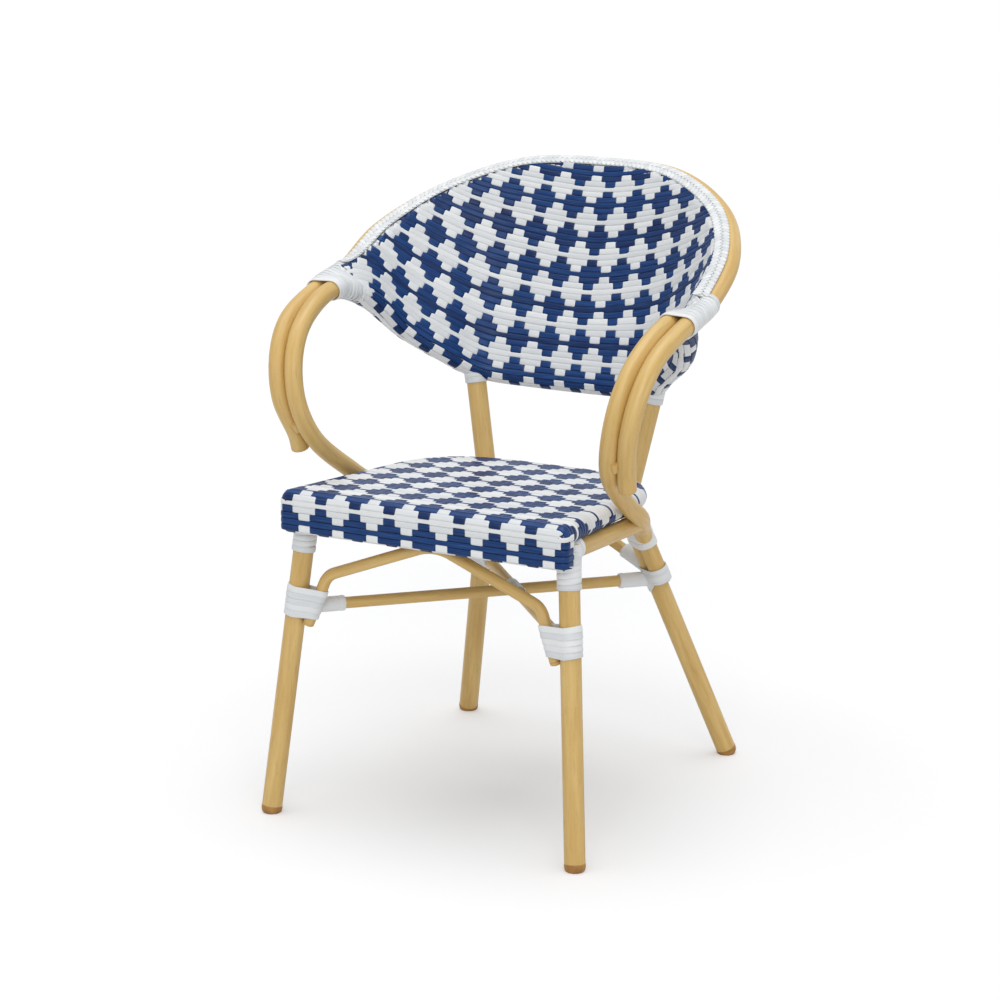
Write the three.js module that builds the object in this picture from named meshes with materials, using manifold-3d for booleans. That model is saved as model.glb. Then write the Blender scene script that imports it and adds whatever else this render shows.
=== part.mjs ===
// Woven bistro armchair on a bent aluminium tube frame.
// Millimetres, +Z up. The sitter faces -Y and the sitter's left is +X.
// The floor is z = 0 and the chair is the same on both sides of x = 0.

import * as THREE from 'three';
import * as BufferGeometryUtils from 'three/addons/utils/BufferGeometryUtils.js';
import { ConvexGeometry } from 'three/addons/geometries/ConvexGeometry.js';
import Module from 'manifold-3d';

const wasm = await Module();
wasm.setup();

// Tubes
const legTube = 28;
const legWall = 1.6;
const armTube = 25;
const armWall = 1.5;
const bowTube = 16;
const bowWall = 1.4;
const legR = legTube / 2;
const armR = armTube / 2;
const bowR = bowTube / 2;

// Fits: the gap between pieces that touch, and how far a cut runs past its piece
const gap = 0.3;
const overrun = 60;
const weldLimit = 0.0005;

// Main sizes
const overallHeight = 848.5;
const seatHeight = 458;
const hoopHalf = 281.6;
const hoopBack = 273.4;
const padFront = -267;
const padBack = 118;
const railBack = 164;

// Half widths of the seat, the legs and the front bow, as shares of the inner arms' half width
const padFrontShare = 0.8935;
const padBackShare = 0.7589;
const frontFootShare = 0.9126;
const frontTopShare = 0.771;
const rearFootShare = 0.8393;
const kneeShare = 0.4265;
const postTopShare = 0.556;
const bowShoulderShare = 0.6321;
const armPitch = armTube + gap;
const innerHalf = hoopHalf - armPitch;
const padFrontHalf = innerHalf * padFrontShare - armR;
const padBackHalf = innerHalf * padBackShare - armR;
const frontFootX = innerHalf * frontFootShare;
const frontTopX = innerHalf * frontTopShare;
const rearFootX = innerHalf * rearFootShare;
const kneeX = innerHalf * kneeShare;
const postTopX = innerHalf * postTopShare;
const bowShoulderX = innerHalf * bowShoulderShare;

// Depths that go with the seat's front and back edges and with the rail
const frontFootAhead = 4.3;
const frontTopInset = 43.4;
const kneeBehind = 4.6;
const rearFootBehind = 133.6;
const rearBowBehind = 32;
const postTopInset = 21;
const frontFootY = padFront - frontFootAhead;
const frontTopY = padFront + frontTopInset;
const kneeY = padBack + kneeBehind;
const rearFootY = padBack + rearFootBehind;
const rearBowY = padBack + rearBowBehind;
const postTopY = railBack - postTopInset;

// Heights above the seat, and of the posts' tops above the rail
const notchRise = 232;
const railRise = 88;
const postTopRise = 10;
const weldRise = 58;
const armEndRise = 31;
const notchZ = seatHeight + notchRise;
const railZ = seatHeight + railRise;
const postTopZ = railZ + postTopRise;
const weldZ = seatHeight + weldRise;
const armEndZ = seatHeight + armEndRise;

// Drops below the seat
const frontTopDrop = 46;
const kneeDrop = 70;
const bowShoulderDrop = 121;
const crossFrontDrop = 170;
const crossRearDrop = 182;
const frontTopZ = seatHeight - frontTopDrop;
const kneeZ = seatHeight - kneeDrop;
const bowShoulderZ = seatHeight - bowShoulderDrop;
const crossFrontZ = seatHeight - crossFrontDrop;
const crossRearZ = seatHeight - crossRearDrop;

// Heights from the ends of the crossed bars, at the rear leg and at the front wrap's lower end
const armFootAbove = 10;
const rearBowAbove = 12;
const rearBowRise = 57;
const bowEndBelow = 8;
const armFootLow = crossRearZ + armFootAbove;
const rearBowLowZ = crossRearZ + rearBowAbove;
const rearBowPeakZ = rearBowLowZ + rearBowRise;

// Seat pad
const padFrontCorner = 25;
const padBackCornerShare = 0.742;
const padBackCorner = padBackHalf * padBackCornerShare;
const padEdge = 28;
const padDrop = 57;
const padLipDepth = 24;
const padRound = 11;
const padSheet = 4;
const padSkin = 2.6;
const padRing = 23.4;
const padRingRound = padRound - padSkin - gap;
const padSlope = 0.058;

// Legs, arms and bows
const legTopRoom = 6;
const kneeBend = 60;
const armReach = 184.5;
const armFootCover = 4;
const weldLength = 11;
const weldRadius = 5;
const weldForward = 9;
const bowBend = 26;
const crownBend = 70;
const crownPasses = 4;

// Feet and plugs
const footTip = 18.5;
const footRim = 28.4;
const footHeight = 10;
const footPlug = 22;
const plugDome = 4;
const plugLip = 1.2;

// White strand wraps and sleeves, with their heights from the levels of the bars' ends
const wrapWall = 2.4;
const sleeveWall = 2.2;
const frontWrapBelow = 11;
const frontWrapAbove = 32;
const bowWrapAbove = 15;
const rearWrapBelow = 14;
const rearWrapAbove = 23;
const bandDrop = 102;
const bandWidth = 19;
const frontSleeve = 68;
const rearSleeve = 57;
const bowSleeve = 54;
const centreWrap = 48;
const postWrapDrop = 7;
const postWrapWidth = 14;
const collarDrop = 42;
const collarWidth = 20;
const armWrapFront = -58;
const armWrapBack = 24;
const frontWrapLow = crossFrontZ - frontWrapBelow;
const frontWrapHigh = crossFrontZ + frontWrapAbove;
const bowWrapHigh = crossFrontZ + bowWrapAbove;
const bowLowZ = frontWrapLow - bowEndBelow;
const rearWrapLow = crossRearZ - rearWrapBelow;
const rearWrapHigh = crossRearZ + rearWrapAbove;
const bandHigh = seatHeight - bandDrop;
const bandLow = bandHigh - bandWidth;
const postWrapHigh = postTopZ - postWrapDrop;
const postWrapLow = postWrapHigh - postWrapWidth;
const collarHigh = seatHeight - collarDrop;
const collarLow = collarHigh - collarWidth;

// Strand wound round the front leg tops
const strandWidth = 7.4;
const strandThick = 1.5;
const strandPitch = 8.1;
const strandTurns = 3;

// Back weave and braid
const weaveThick = 4;
const weaveSkin = 2.4;
const rimRoll = 17;
const braidWidth = 22;
const braidThick = 3;
const braidLean = THREE.MathUtils.degToRad(40);

// Numbers of facets and steps
const legSides = 12;
const bowSides = 10;
const boreSides = 6;
const hoopSteps = 42;
const railSteps = 50;
const bendSteps = 4;
const strandSteps = 16;
const sheetColumns = 16;
const sheetRows = 3;
const cornerSteps = 5;
const roundSteps = 2;

// Shares, chosen by eye from the shape of the curves
// hoop: half width, back reach, rise from the arm notch to the top
const hoopShares = [
  [0, 1, 1],
  [0.4325, 0.929, 0.961],
  [0.783, 0.7, 0.711],
  [0.968, 0.365, 0.395],
  [0.994, 0.065, 0.107],
];
// arm loop: inner half width, forward reach, rise from the seat to the notch
const armShares = [
  [1, -0.278, 1],
  [0.987, -0.754, 0.8634],
  [0.96, -0.948, 0.6793],
  [0.923, -1, 0.4434],
  [0.878, -0.888, 0.2138],
];
const outerEndShares = [0.872, -0.86];
// arm tube from the loop to the rear leg: inner half width, seat depth, fall from seat to band
const runShares = [
  [0.834, 0.4721, 0.1153],
  [0.822, 0.5761, 0.3457],
  [0.684, 0.7894, 0.6931],
];
const plugRoundShare = 0.72;
const strandFlatShare = 0.4;
const elbowShare = 0.8;
const elbowDropShare = 0.9;
const tangentShare = 0.03;
const tuckShare = 8;
// rail: inner half width, back reach, rise from the rail to the notch
const railShares = [
  [0, 1, 0],
  [0.273, 0.988, 0.007],
  [0.468, 0.927, 0.036],
  [0.585, 0.811, 0.115],
  [0.655, 0.689, 0.222],
  [0.847, 0.433, 0.505],
  [0.956, 0.116, 0.84],
];
const armFootAngle = THREE.MathUtils.degToRad(-42);

const rimR = rimRoll / 2;
const hoopTopZ = overallHeight - armR;
const railDrop = padSheet + padRing + 2 * gap + armR;
const frontLegEnd = seatHeight - padSheet - padRing - legTopRoom;
const sides = { left: 1, right: -1 };

const paint = { color: 0xcfae69, roughness: 0.42, metalness: 0.1 };
const strand = { color: 0xeceef0, roughness: 0.5, metalness: 0 };
const weave = { color: 0x6478a6, roughness: 0.45, metalness: 0 };
const plastic = { color: 0x7d5a2b, roughness: 0.6, metalness: 0 };

const chair = new THREE.Group();

function v(x, y, z) {
  return new THREE.Vector3(x, y, z);
}

function put(name, geometry, look) {
  const mesh = new THREE.Mesh(geometry, new THREE.MeshStandardMaterial(look));
  mesh.name = name;
  chair.add(mesh);
  return mesh;
}

// A path whose steps fall exactly on chosen stations
class StationPath extends THREE.Curve {
  constructor(stations) {
    super();
    this.stations = stations;
  }

  getPoint(share, target = new THREE.Vector3()) {
    const last = this.stations.length - 1;
    return target.copy(this.stations[Math.round(share * last)]);
  }

  getPointAt(share, target) {
    return this.getPoint(share, target);
  }

  getTangentAt(share, target = new THREE.Vector3()) {
    const last = this.stations.length - 1;
    const i = Math.round(share * last);
    const here = this.stations[i];
    const arriving = here.clone().sub(this.stations[Math.max(i - 1, 0)]).normalize();
    const leaving = this.stations[Math.min(i + 1, last)].clone().sub(here).normalize();
    return target.copy(arriving).add(leaving).normalize();
  }
}

function circlePoints(radius, count) {
  const points = [];
  for (let i = 0; i < count; i += 1) {
    const angle = (i / count) * Math.PI * 2;
    points.push(new THREE.Vector2(radius * Math.cos(angle), radius * Math.sin(angle)));
  }
  return points;
}

function sweep(shape, stations) {
  const path = new StationPath(stations);
  return new THREE.ExtrudeGeometry(shape, { steps: stations.length - 1, extrudePath: path });
}

function rod(stations, radius, count = legSides) {
  return sweep(new THREE.Shape(circlePoints(radius, count)), stations);
}

function tube(stations, radius, wall, count = legSides) {
  const shape = new THREE.Shape(circlePoints(radius, count));
  shape.holes.push(new THREE.Path(circlePoints(radius - wall, boreSides)));
  return sweep(shape, stations);
}

function smooth(points, steps) {
  return new THREE.CatmullRomCurve3(points, false, 'centripetal').getSpacedPoints(steps);
}

// Straight runs joined by round bends at the inner corners
function bent(corners, radii) {
  const stations = [corners[0].clone()];
  for (let i = 1; i < corners.length - 1; i += 1) {
    const arriving = corners[i].clone().sub(corners[i - 1]).normalize();
    const leaving = corners[i + 1].clone().sub(corners[i]).normalize();
    const reach = radii[i - 1] * Math.tan(arriving.angleTo(leaving) / 2);
    const start = corners[i].clone().addScaledVector(arriving, -reach);
    const end = corners[i].clone().addScaledVector(leaving, reach);
    const arc = new THREE.QuadraticBezierCurve3(start, corners[i].clone(), end);
    stations.push(...arc.getPoints(bendSteps));
  }
  stations.push(corners.at(-1).clone());
  return stations;
}

// Triangles whose corners are three different points
function wholeTriangles(index) {
  const kept = [];
  for (let i = 0; i < index.length; i += 3) {
    const [a, b, c] = [index[i], index[i + 1], index[i + 2]];
    if (a !== b && b !== c && c !== a) {
      kept.push(a, b, c);
    }
  }
  return new Uint32Array(kept);
}

function toSolid(geometry) {
  const plain = geometry.clone();
  plain.deleteAttribute('normal');
  plain.deleteAttribute('uv');
  const merged = BufferGeometryUtils.mergeVertices(plain, weldLimit);
  const vertProperties = new Float32Array(merged.attributes.position.array);
  const triVerts = wholeTriangles(merged.index.array);
  return new wasm.Manifold(new wasm.Mesh({ numProp: 3, vertProperties, triVerts }));
}

function toGeometry(solid) {
  const mesh = solid.getMesh();
  const geometry = new THREE.BufferGeometry();
  geometry.setAttribute('position', new THREE.BufferAttribute(mesh.vertProperties, mesh.numProp));
  geometry.setIndex(new THREE.BufferAttribute(mesh.triVerts, 1));
  geometry.computeVertexNormals();
  return geometry;
}

function cut(geometry, tools) {
  let solid = toSolid(geometry);
  for (const tool of tools) {
    solid = solid.subtract(toSolid(tool));
  }
  return toGeometry(solid);
}

// The largest body of a solid, without the slivers that a cut leaves beside it
function largest(geometry) {
  const bodies = toSolid(geometry).decompose();
  bodies.sort((a, b) => b.volume() - a.volume());
  return toGeometry(bodies[0]);
}

function join(first, second) {
  return toGeometry(toSolid(first).add(toSolid(second)));
}

// The space that a rod takes from its neighbours, larger than the rod by the gap all round
function clearance(stations, radius, count = legSides) {
  const first = stations[0].clone().sub(stations[1]).setLength(gap).add(stations[0]);
  const last = stations.at(-1).clone().sub(stations.at(-2)).setLength(gap).add(stations.at(-1));
  return rod([first, ...stations.slice(1, -1), last], radius + gap, count);
}

function mirrored(points) {
  const other = points.slice(1).reverse().map((p) => v(-p.x, p.y, p.z));
  return [...other, ...points];
}

// Half of a path that is alike on both sides, from its middle out to one side
function outward(stations, side) {
  const middle = (stations.length - 1) / 2;
  return side > 0 ? stations.slice(middle) : stations.slice(0, middle + 1).reverse();
}

// The first place on a path where a measure passes through zero
function crossing(stations, measure) {
  for (let i = 1; i < stations.length; i += 1) {
    const before = measure(stations[i - 1]);
    const after = measure(stations[i]);
    if (before * after <= 0) {
      return stations[i - 1].clone().lerp(stations[i], before / (before - after));
    }
  }
  return stations.at(-1).clone();
}

// Two rings of points round a straight stretch, for the tight skins of the wraps
function rings(low, high, radius) {
  const direction = high.clone().sub(low).normalize();
  const turn = new THREE.Quaternion().setFromUnitVectors(v(0, 0, 1), direction);
  const around = circlePoints(radius, legSides).map((p) => v(p.x, p.y, 0).applyQuaternion(turn));
  return [low, high].flatMap((centre) => around.map((p) => p.clone().add(centre)));
}

// Heights of the sloping seat
function seatZ(y, drop) {
  return seatHeight - drop - (y - padFront) * padSlope;
}

// Points on the axes of the legs
function frontLegAt(z, side) {
  const share = z / frontTopZ;
  const x = THREE.MathUtils.lerp(frontFootX, frontTopX, share);
  return v(side * x, THREE.MathUtils.lerp(frontFootY, frontTopY, share), z);
}

function rearLegAt(z, side) {
  const share = z / kneeZ;
  const x = THREE.MathUtils.lerp(rearFootX, kneeX, share);
  return v(side * x, THREE.MathUtils.lerp(rearFootY, kneeY, share), z);
}

function postAt(z, side) {
  const share = (z - kneeZ) / (postTopZ - kneeZ);
  const x = THREE.MathUtils.lerp(kneeX, postTopX, share);
  return v(side * x, THREE.MathUtils.lerp(kneeY, postTopY, share), z);
}

// The arm tube's foot runs beside the rear leg
function armFootAt(z, side) {
  const reach = legR + armR + gap;
  const beside = v(side * reach * Math.cos(armFootAngle), reach * Math.sin(armFootAngle), 0);
  return rearLegAt(z, side).add(beside);
}

function hoopPoints() {
  const rise = hoopTopZ - notchZ;
  return hoopShares.map(([x, y, z]) => v(x * hoopHalf, y * hoopBack, notchZ + z * rise));
}

function armPoints(shift) {
  const rise = notchZ - seatHeight;
  return armShares.map(([x, y, z]) => v(x * innerHalf + shift, y * armReach, seatHeight + z * rise));
}

function outerEnd() {
  const [x, y] = outerEndShares;
  return v(x * innerHalf + armPitch, y * armReach, armEndZ);
}

function railPoints() {
  const rise = notchZ - railZ;
  return railShares.map(([x, y, z]) => v(x * innerHalf, y * railBack, railZ + z * rise));
}

function armRunPoints() {
  const fall = seatHeight - bandHigh;
  const depth = padBack - padFront;
  const runPoint = ([x, y, z]) => v(x * innerHalf, padFront + y * depth, seatHeight - z * fall);
  const run = runShares.map(runPoint);
  const elbow = armFootAt(bandHigh, 1);
  const before = run.at(-1).clone().lerp(elbow, elbowShare);
  const after = armFootAt(THREE.MathUtils.lerp(bandLow, bandHigh, 1 - elbowDropShare), 1);
  return [...run, before, after, armFootAt(armFootLow, 1)];
}

const hoopHalfPath = [...hoopPoints(), ...armPoints(armPitch), outerEnd()];
const railHalfPath = [...railPoints(), ...armPoints(0), ...armRunPoints()];
const hoopStations = smooth(mirrored(hoopHalfPath), hoopSteps);
const railStations = smooth(mirrored(railHalfPath), railSteps);

function frontLegStations(side) {
  const start = frontLegAt(0, side);
  const up = frontLegAt(frontLegEnd, side).sub(start).normalize();
  return [start.clone().addScaledVector(up, footHeight + gap), frontLegAt(frontLegEnd, side)];
}

function rearLegStations(side) {
  const foot = rearLegAt(0, side);
  const up = rearLegAt(kneeZ, side).sub(foot).normalize();
  const start = foot.clone().addScaledVector(up, footHeight + gap);
  return bent([start, rearLegAt(kneeZ, side), postAt(postTopZ, side)], [kneeBend]);
}

// A side rail runs from the front leg to where the arm tube passes down beside the seat
function sideRailStations(side) {
  const start = frontLegAt(frontTopZ, side);
  start.z = seatZ(start.y, railDrop);
  const upFromFoot = outward(railStations, side).reverse();
  return [start, crossing(upFromFoot, (p) => p.z - seatZ(p.y, railDrop))];
}

function frontRailStations() {
  return [sideRailStations(sides.right)[0], sideRailStations(sides.left)[0]];
}

// The rear rail is welded to the front of both posts
function rearRailStations() {
  const post = postAt(seatZ(padBack, railDrop), sides.left);
  const y = post.y - legR - armR - gap;
  const z = seatZ(y, railDrop);
  return [v(-post.x - legR, y, z), v(post.x + legR, y, z)];
}

function crossEnds(side) {
  return [frontLegAt(crossFrontZ, side), rearLegAt(crossRearZ, -side)];
}

function crossMiddle() {
  const [front, rear] = crossEnds(sides.left);
  return front.clone().lerp(rear, front.x / (front.x - rear.x));
}

// The corner above a rounded crown, for a crown whose own height is given
function crownCorner(foot, crown) {
  const run = foot.clone().sub(crown).setZ(0).length();
  let rise = 0;
  for (let pass = 0; pass < crownPasses; pass += 1) {
    const slope = Math.atan((crown.z + rise - foot.z) / run);
    rise = (crownBend * Math.tan(slope) * Math.sin(slope)) / 2;
  }
  return v(crown.x, crown.y, crown.z + rise);
}

// The front bow's crown runs just under the front rail
function frontBowStations() {
  const crownZ = seatZ(frontTopY, railDrop) - armR - bowR - gap;
  const besideLeg = (z) => frontLegAt(z, 1).sub(v(legR + bowR + gap, 0, 0));
  const low = besideLeg(bowLowZ);
  const shoulder = v(bowShoulderX, frontLegAt(bowShoulderZ, 1).y, bowShoulderZ);
  const peak = crownCorner(shoulder, v(0, frontLegAt(crownZ, 1).y, crownZ));
  const other = (p) => v(-p.x, p.y, p.z);
  return bent([other(low), other(shoulder), peak, shoulder, low], [bowBend, crownBend, bowBend]);
}

function rearBowStations() {
  const end = rearLegAt(rearBowLowZ, 1);
  const peak = crownCorner(end, v(0, rearBowY, rearBowPeakZ));
  return bent([v(-end.x, end.y, end.z), peak, end], [crownBend]);
}

function frontLegTool(side) {
  return clearance(frontLegStations(side), legR);
}

function rearLegTool(side) {
  return clearance(rearLegStations(side), legR);
}

function hoopTool() {
  return clearance(hoopStations, armR);
}

function railTool() {
  return clearance(railStations, armR);
}

function longBarTool() {
  return clearance(crossEnds(sides.left), bowR, bowSides);
}

function shortBarTool() {
  return clearance(crossEnds(sides.right), bowR, bowSides);
}

function frontBowTool() {
  return clearance(frontBowStations(), bowR, bowSides);
}

function rearBowTool() {
  return clearance(rearBowStations(), bowR, bowSides);
}

function buildLegs(name, side) {
  put(`front_leg_${name}`, tube(frontLegStations(side), legR, legWall), paint);
  const rear = tube(rearLegStations(side), legR, legWall);
  put(`rear_leg_${name}`, cut(rear, [railTool()]), paint);
}

// Where the inner arm tube presses on the outer one it is flattened a little
function buildHoopAndRail() {
  put('back_hoop_and_outer_arms', tube(hoopStations, armR, armWall), paint);
  const rail = tube(railStations, armR, armWall);
  put('lower_back_rail_and_inner_arms', cut(rail, [hoopTool()]), paint);
}

function buildSeatRails() {
  const frontRail = clearance(frontRailStations(), armR);
  for (const [name, side] of Object.entries(sides)) {
    const rail = tube(sideRailStations(side), armR, armWall);
    const coped = cut(rail, [frontLegTool(side), frontRail, railTool()]);
    put(`seat_side_rail_${name}`, largest(coped), paint);
  }
  const front = tube(frontRailStations(), armR, armWall);
  const tools = [frontLegTool(sides.left), frontLegTool(sides.right)];
  put('seat_front_rail', cut(front, tools), paint);
  put('seat_rear_rail', tube(rearRailStations(), armR, armWall), paint);
}

function buildCross() {
  const [frontLeft, rearRight] = crossEnds(sides.left);
  const [frontRight, rearLeft] = crossEnds(sides.right);
  const long = tube([frontLeft, rearRight], bowR, bowWall, bowSides);
  const longTools = [frontLegTool(sides.left), rearLegTool(sides.right)];
  put('cross_bar_long', cut(long, longTools), paint);
  const front = tube([frontRight, crossMiddle()], bowR, bowWall, bowSides);
  put('cross_bar_front_half', cut(front, [frontLegTool(sides.right), longBarTool()]), paint);
  const rear = tube([crossMiddle(), rearLeft], bowR, bowWall, bowSides);
  put('cross_bar_rear_half', cut(rear, [rearLegTool(sides.left), longBarTool()]), paint);
}

function buildBows() {
  put('front_bow', tube(frontBowStations(), bowR, bowWall, bowSides), paint);
  const rear = tube(rearBowStations(), bowR, bowWall, bowSides);
  put('rear_bow', cut(rear, [rearLegTool(sides.left), rearLegTool(sides.right)]), paint);
}

// A bead in the groove between the two tubes of an arm
function buildArmWeld(name, side) {
  const beside = v((side * armPitch) / 2, -weldForward, 0);
  const at = (z) => crossing(outward(railStations, side), (p) => p.z - z).add(beside);
  const bead = rod([at(weldZ), at(weldZ + weldLength)], weldRadius);
  put(`arm_weld_${name}`, cut(bead, [hoopTool(), railTool()]), paint);
}

function boreRadius(radius, wall) {
  return (radius - wall) * Math.cos(Math.PI / boreSides) - gap;
}

function lathe(outline) {
  return new THREE.LatheGeometry(outline.map(([r, y]) => new THREE.Vector2(r, y)), legSides);
}

// Turns a lathe's axis onto a direction and sets it at a point
function aim(geometry, at, direction) {
  const turn = new THREE.Quaternion().setFromUnitVectors(v(0, 1, 0), direction.clone().normalize());
  return geometry.applyQuaternion(turn).translate(at.x, at.y, at.z);
}

function floorBlock() {
  const size = 2 * overallHeight;
  return new THREE.BoxGeometry(size, size, overrun).translate(0, 0, -overrun / 2);
}

// A foot: a cap under the tube, flat on the floor, with a plug in the bore
function buildFoot(name, stations, at) {
  const inside = boreRadius(legR, legWall);
  const outline = [
    [0, -footHeight],
    [footTip / 2, -footHeight],
    [footTip / 2, 0],
    [footRim / 2, footHeight - plugLip],
    [footRim / 2, footHeight],
    [inside, footHeight],
    [inside, footHeight + footPlug],
    [0, footHeight + footPlug],
  ];
  const foot = aim(lathe(outline), at, stations[1].clone().sub(stations[0]));
  put(name, cut(foot, [floorBlock()]), plastic);
}

function buildPlug(name, stations, radius, wall) {
  const end = stations.at(-1);
  const inside = boreRadius(radius, wall);
  const outline = [
    [0, -radius],
    [inside, -radius],
    [inside, gap],
    [radius, gap],
    [radius, gap + plugLip],
    [radius * plugRoundShare, gap + plugDome],
    [0, gap + plugDome + plugLip],
  ];
  put(name, aim(lathe(outline), end, end.clone().sub(stations.at(-2))), paint);
}

function buildFeetAndPlugs() {
  for (const [name, side] of Object.entries(sides)) {
    buildFoot(`front_foot_${name}`, frontLegStations(side), frontLegAt(0, side));
    buildFoot(`rear_foot_${name}`, rearLegStations(side), rearLegAt(0, side));
  }
  for (const [name, side] of Object.entries(sides)) {
    buildPlug(`arm_end_plug_${name}`, outward(hoopStations, side), armR, armWall);
    buildPlug(`bow_end_plug_${name}`, outward(frontBowStations(), side), bowR, bowWall);
  }
}

// Tight skins round two tubes that lie side by side
function frontWrapSkin(side, extra) {
  const cover = gap + wrapWall + extra;
  const bow = outward(frontBowStations(), side);
  const bowAt = (z) => crossing(bow, (p) => p.z - z);
  const legRings = rings(frontLegAt(frontWrapLow, side), frontLegAt(frontWrapHigh, side), legR + cover);
  const bowRings = rings(bowAt(frontWrapLow), bowAt(bowWrapHigh), bowR + cover);
  return new ConvexGeometry([...legRings, ...bowRings]);
}

function rearWrapSkin(side, extra) {
  const cover = gap + wrapWall + extra;
  const legRings = rings(rearLegAt(rearWrapLow, side), rearLegAt(rearWrapHigh, side), legR + cover);
  const footLow = armFootAt(armFootLow - armFootCover, side);
  const footRings = rings(footLow, armFootAt(rearWrapHigh, side), armR + cover);
  return new ConvexGeometry([...legRings, ...footRings]);
}

function bandSkin(side) {
  const cover = gap + wrapWall;
  const legRings = rings(rearLegAt(bandLow, side), rearLegAt(bandHigh, side), legR + cover);
  const footRings = rings(armFootAt(bandLow, side), armFootAt(bandHigh, side), armR + cover);
  return new ConvexGeometry([...legRings, ...footRings]);
}

function armWrapSkin(side, extra) {
  const radius = armR + gap + wrapWall + extra;
  const middle = (armWrapFront + armWrapBack) / 2;
  const skin = [];
  for (const stations of [hoopStations, railStations]) {
    const at = (y) => crossing(outward(stations, side), (p) => p.y - y);
    skin.push(...rings(at(armWrapBack), at(middle), radius));
    skin.push(...rings(at(middle), at(armWrapFront), radius));
  }
  return new ConvexGeometry(skin);
}

function buildStretcherWraps(name, side) {
  const bars = [longBarTool(), shortBarTool()];
  const front = [frontLegTool(side), frontBowTool(), ...bars];
  put(`front_leg_wrap_${name}`, cut(frontWrapSkin(side, 0), front), strand);
  const rear = [rearLegTool(side), railTool(), rearBowTool(), ...bars];
  put(`rear_leg_wrap_${name}`, cut(rearWrapSkin(side, 0), rear), strand);
  const band = [rearLegTool(side), railTool()];
  put(`rear_leg_band_${name}`, cut(bandSkin(side), band), strand);
}

function buildArmWrap(name, side) {
  put(`arm_wrap_${name}`, cut(armWrapSkin(side, 0), [hoopTool(), railTool()]), strand);
}

// A sleeve on a bar, from the wrap on the leg to a distance from the leg's axis
function buildSleeve(name, bar, length, tools) {
  const end = bar[1].clone().sub(bar[0]).setLength(length).add(bar[0]);
  const skin = rod([bar[0], end], bowR + gap + sleeveWall, bowSides);
  put(name, cut(skin, tools), strand);
}

function buildSleeves(name, side) {
  const bars = [longBarTool(), shortBarTool()];
  const frontTools = [frontLegTool(side), frontWrapSkin(side, gap)];
  buildSleeve(`front_bar_sleeve_${name}`, crossEnds(side), frontSleeve, [...bars, ...frontTools]);
  const rearTools = [rearLegTool(side), rearWrapSkin(side, gap)];
  const rear = crossEnds(-side).reverse();
  buildSleeve(`rear_bar_sleeve_${name}`, rear, rearSleeve, [...bars, ...rearTools]);
  const bow = outward(rearBowStations(), side).reverse();
  buildSleeve(`rear_bow_sleeve_${name}`, bow, bowSleeve, [rearBowTool(), ...rearTools]);
}

function buildCentreWrap() {
  const middle = crossMiddle();
  const half = crossEnds(sides.left)[1].sub(middle).setLength(centreWrap / 2);
  const ends = [middle.clone().sub(half), middle.clone().add(half)];
  const skin = rod(ends, bowR + gap + sleeveWall, bowSides);
  put('cross_centre_wrap', cut(skin, [longBarTool(), shortBarTool()]), strand);
}

function buildPostWrap(name, side) {
  const skin = rod([postAt(postWrapLow, side), postAt(postWrapHigh, side)], legR + gap + wrapWall);
  const railSkin = clearance(railSkinStations(), armR + gap + weaveSkin);
  put(`post_top_wrap_${name}`, cut(skin, [rearLegTool(side), railSkin]), strand);
}

function buildLegCollar(name, side) {
  const skin = rod([frontLegAt(collarLow, side), frontLegAt(collarHigh, side)], legR + gap + wrapWall);
  const rails = [clearance(frontRailStations(), armR), clearance(sideRailStations(side), armR)];
  put(`leg_top_collar_${name}`, cut(skin, [frontLegTool(side), ...rails]), strand);
}

// Six corners of the flat strand, across its width and its thickness
function strandSection() {
  const flat = strandWidth * strandFlatShare;
  const edge = strandWidth / 2;
  const face = strandThick / 2;
  return [[edge, 0], [flat, face], [-flat, face], [-edge, 0], [-flat, -face], [flat, -face]];
}

// Rings of strand corners on a helix round the top of a front leg
function strandRings(side) {
  const top = collarLow - gap - strandWidth / 2;
  const axis = frontLegAt(frontTopZ, side).sub(frontLegAt(0, side)).normalize();
  const across = v(1, 0, 0).cross(axis).normalize();
  const along = axis.clone().cross(across);
  const reach = legR + gap + strandThick / 2;
  const found = [];
  for (let i = 0; i <= strandTurns * strandSteps; i += 1) {
    const angle = (i / strandSteps) * Math.PI * 2;
    const out = across.clone().multiplyScalar(Math.cos(angle)).addScaledVector(along, Math.sin(angle));
    const centre = frontLegAt(top - (i / strandSteps) * strandPitch, side).addScaledVector(out, reach);
    const corner = ([w, t]) => centre.clone().addScaledVector(axis, w).addScaledVector(out, t);
    found.push(strandSection().map(corner));
  }
  return found;
}

// A closed tube through rings of corners
function throughRings(corners) {
  const count = corners[0].length;
  const index = [];
  for (let i = 0; i < corners.length - 1; i += 1) {
    for (let k = 0; k < count; k += 1) {
      const next = (k + 1) % count;
      const [a, b] = [i * count + k, i * count + next];
      index.push(a, b, a + count, b, b + count, a + count);
    }
  }
  const last = (corners.length - 1) * count;
  for (let k = 1; k < count - 1; k += 1) {
    index.push(0, k + 1, k);
    index.push(last, last + k, last + k + 1);
  }
  const geometry = new THREE.BufferGeometry().setFromPoints(corners.flat());
  geometry.setIndex(index);
  geometry.computeVertexNormals();
  return geometry;
}

// The least distance between corners of the strand that are half a turn or more apart
function leastSelfGap(corners) {
  let least = Infinity;
  for (let i = 0; i < corners.length; i += 1) {
    for (let j = i + strandSteps / 2; j < corners.length; j += 1) {
      for (const p of corners[i]) {
        least = Math.min(least, ...corners[j].map((q) => p.distanceTo(q)));
      }
    }
  }
  return least;
}

function buildLegWinding(name, side) {
  const corners = strandRings(side);
  put(`leg_top_winding_${name}`, throughRings(corners), strand);
  console.log(`leg_top_winding_${name}: least gap to itself ${leastSelfGap(corners).toFixed(2)} mm`);
}

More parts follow.
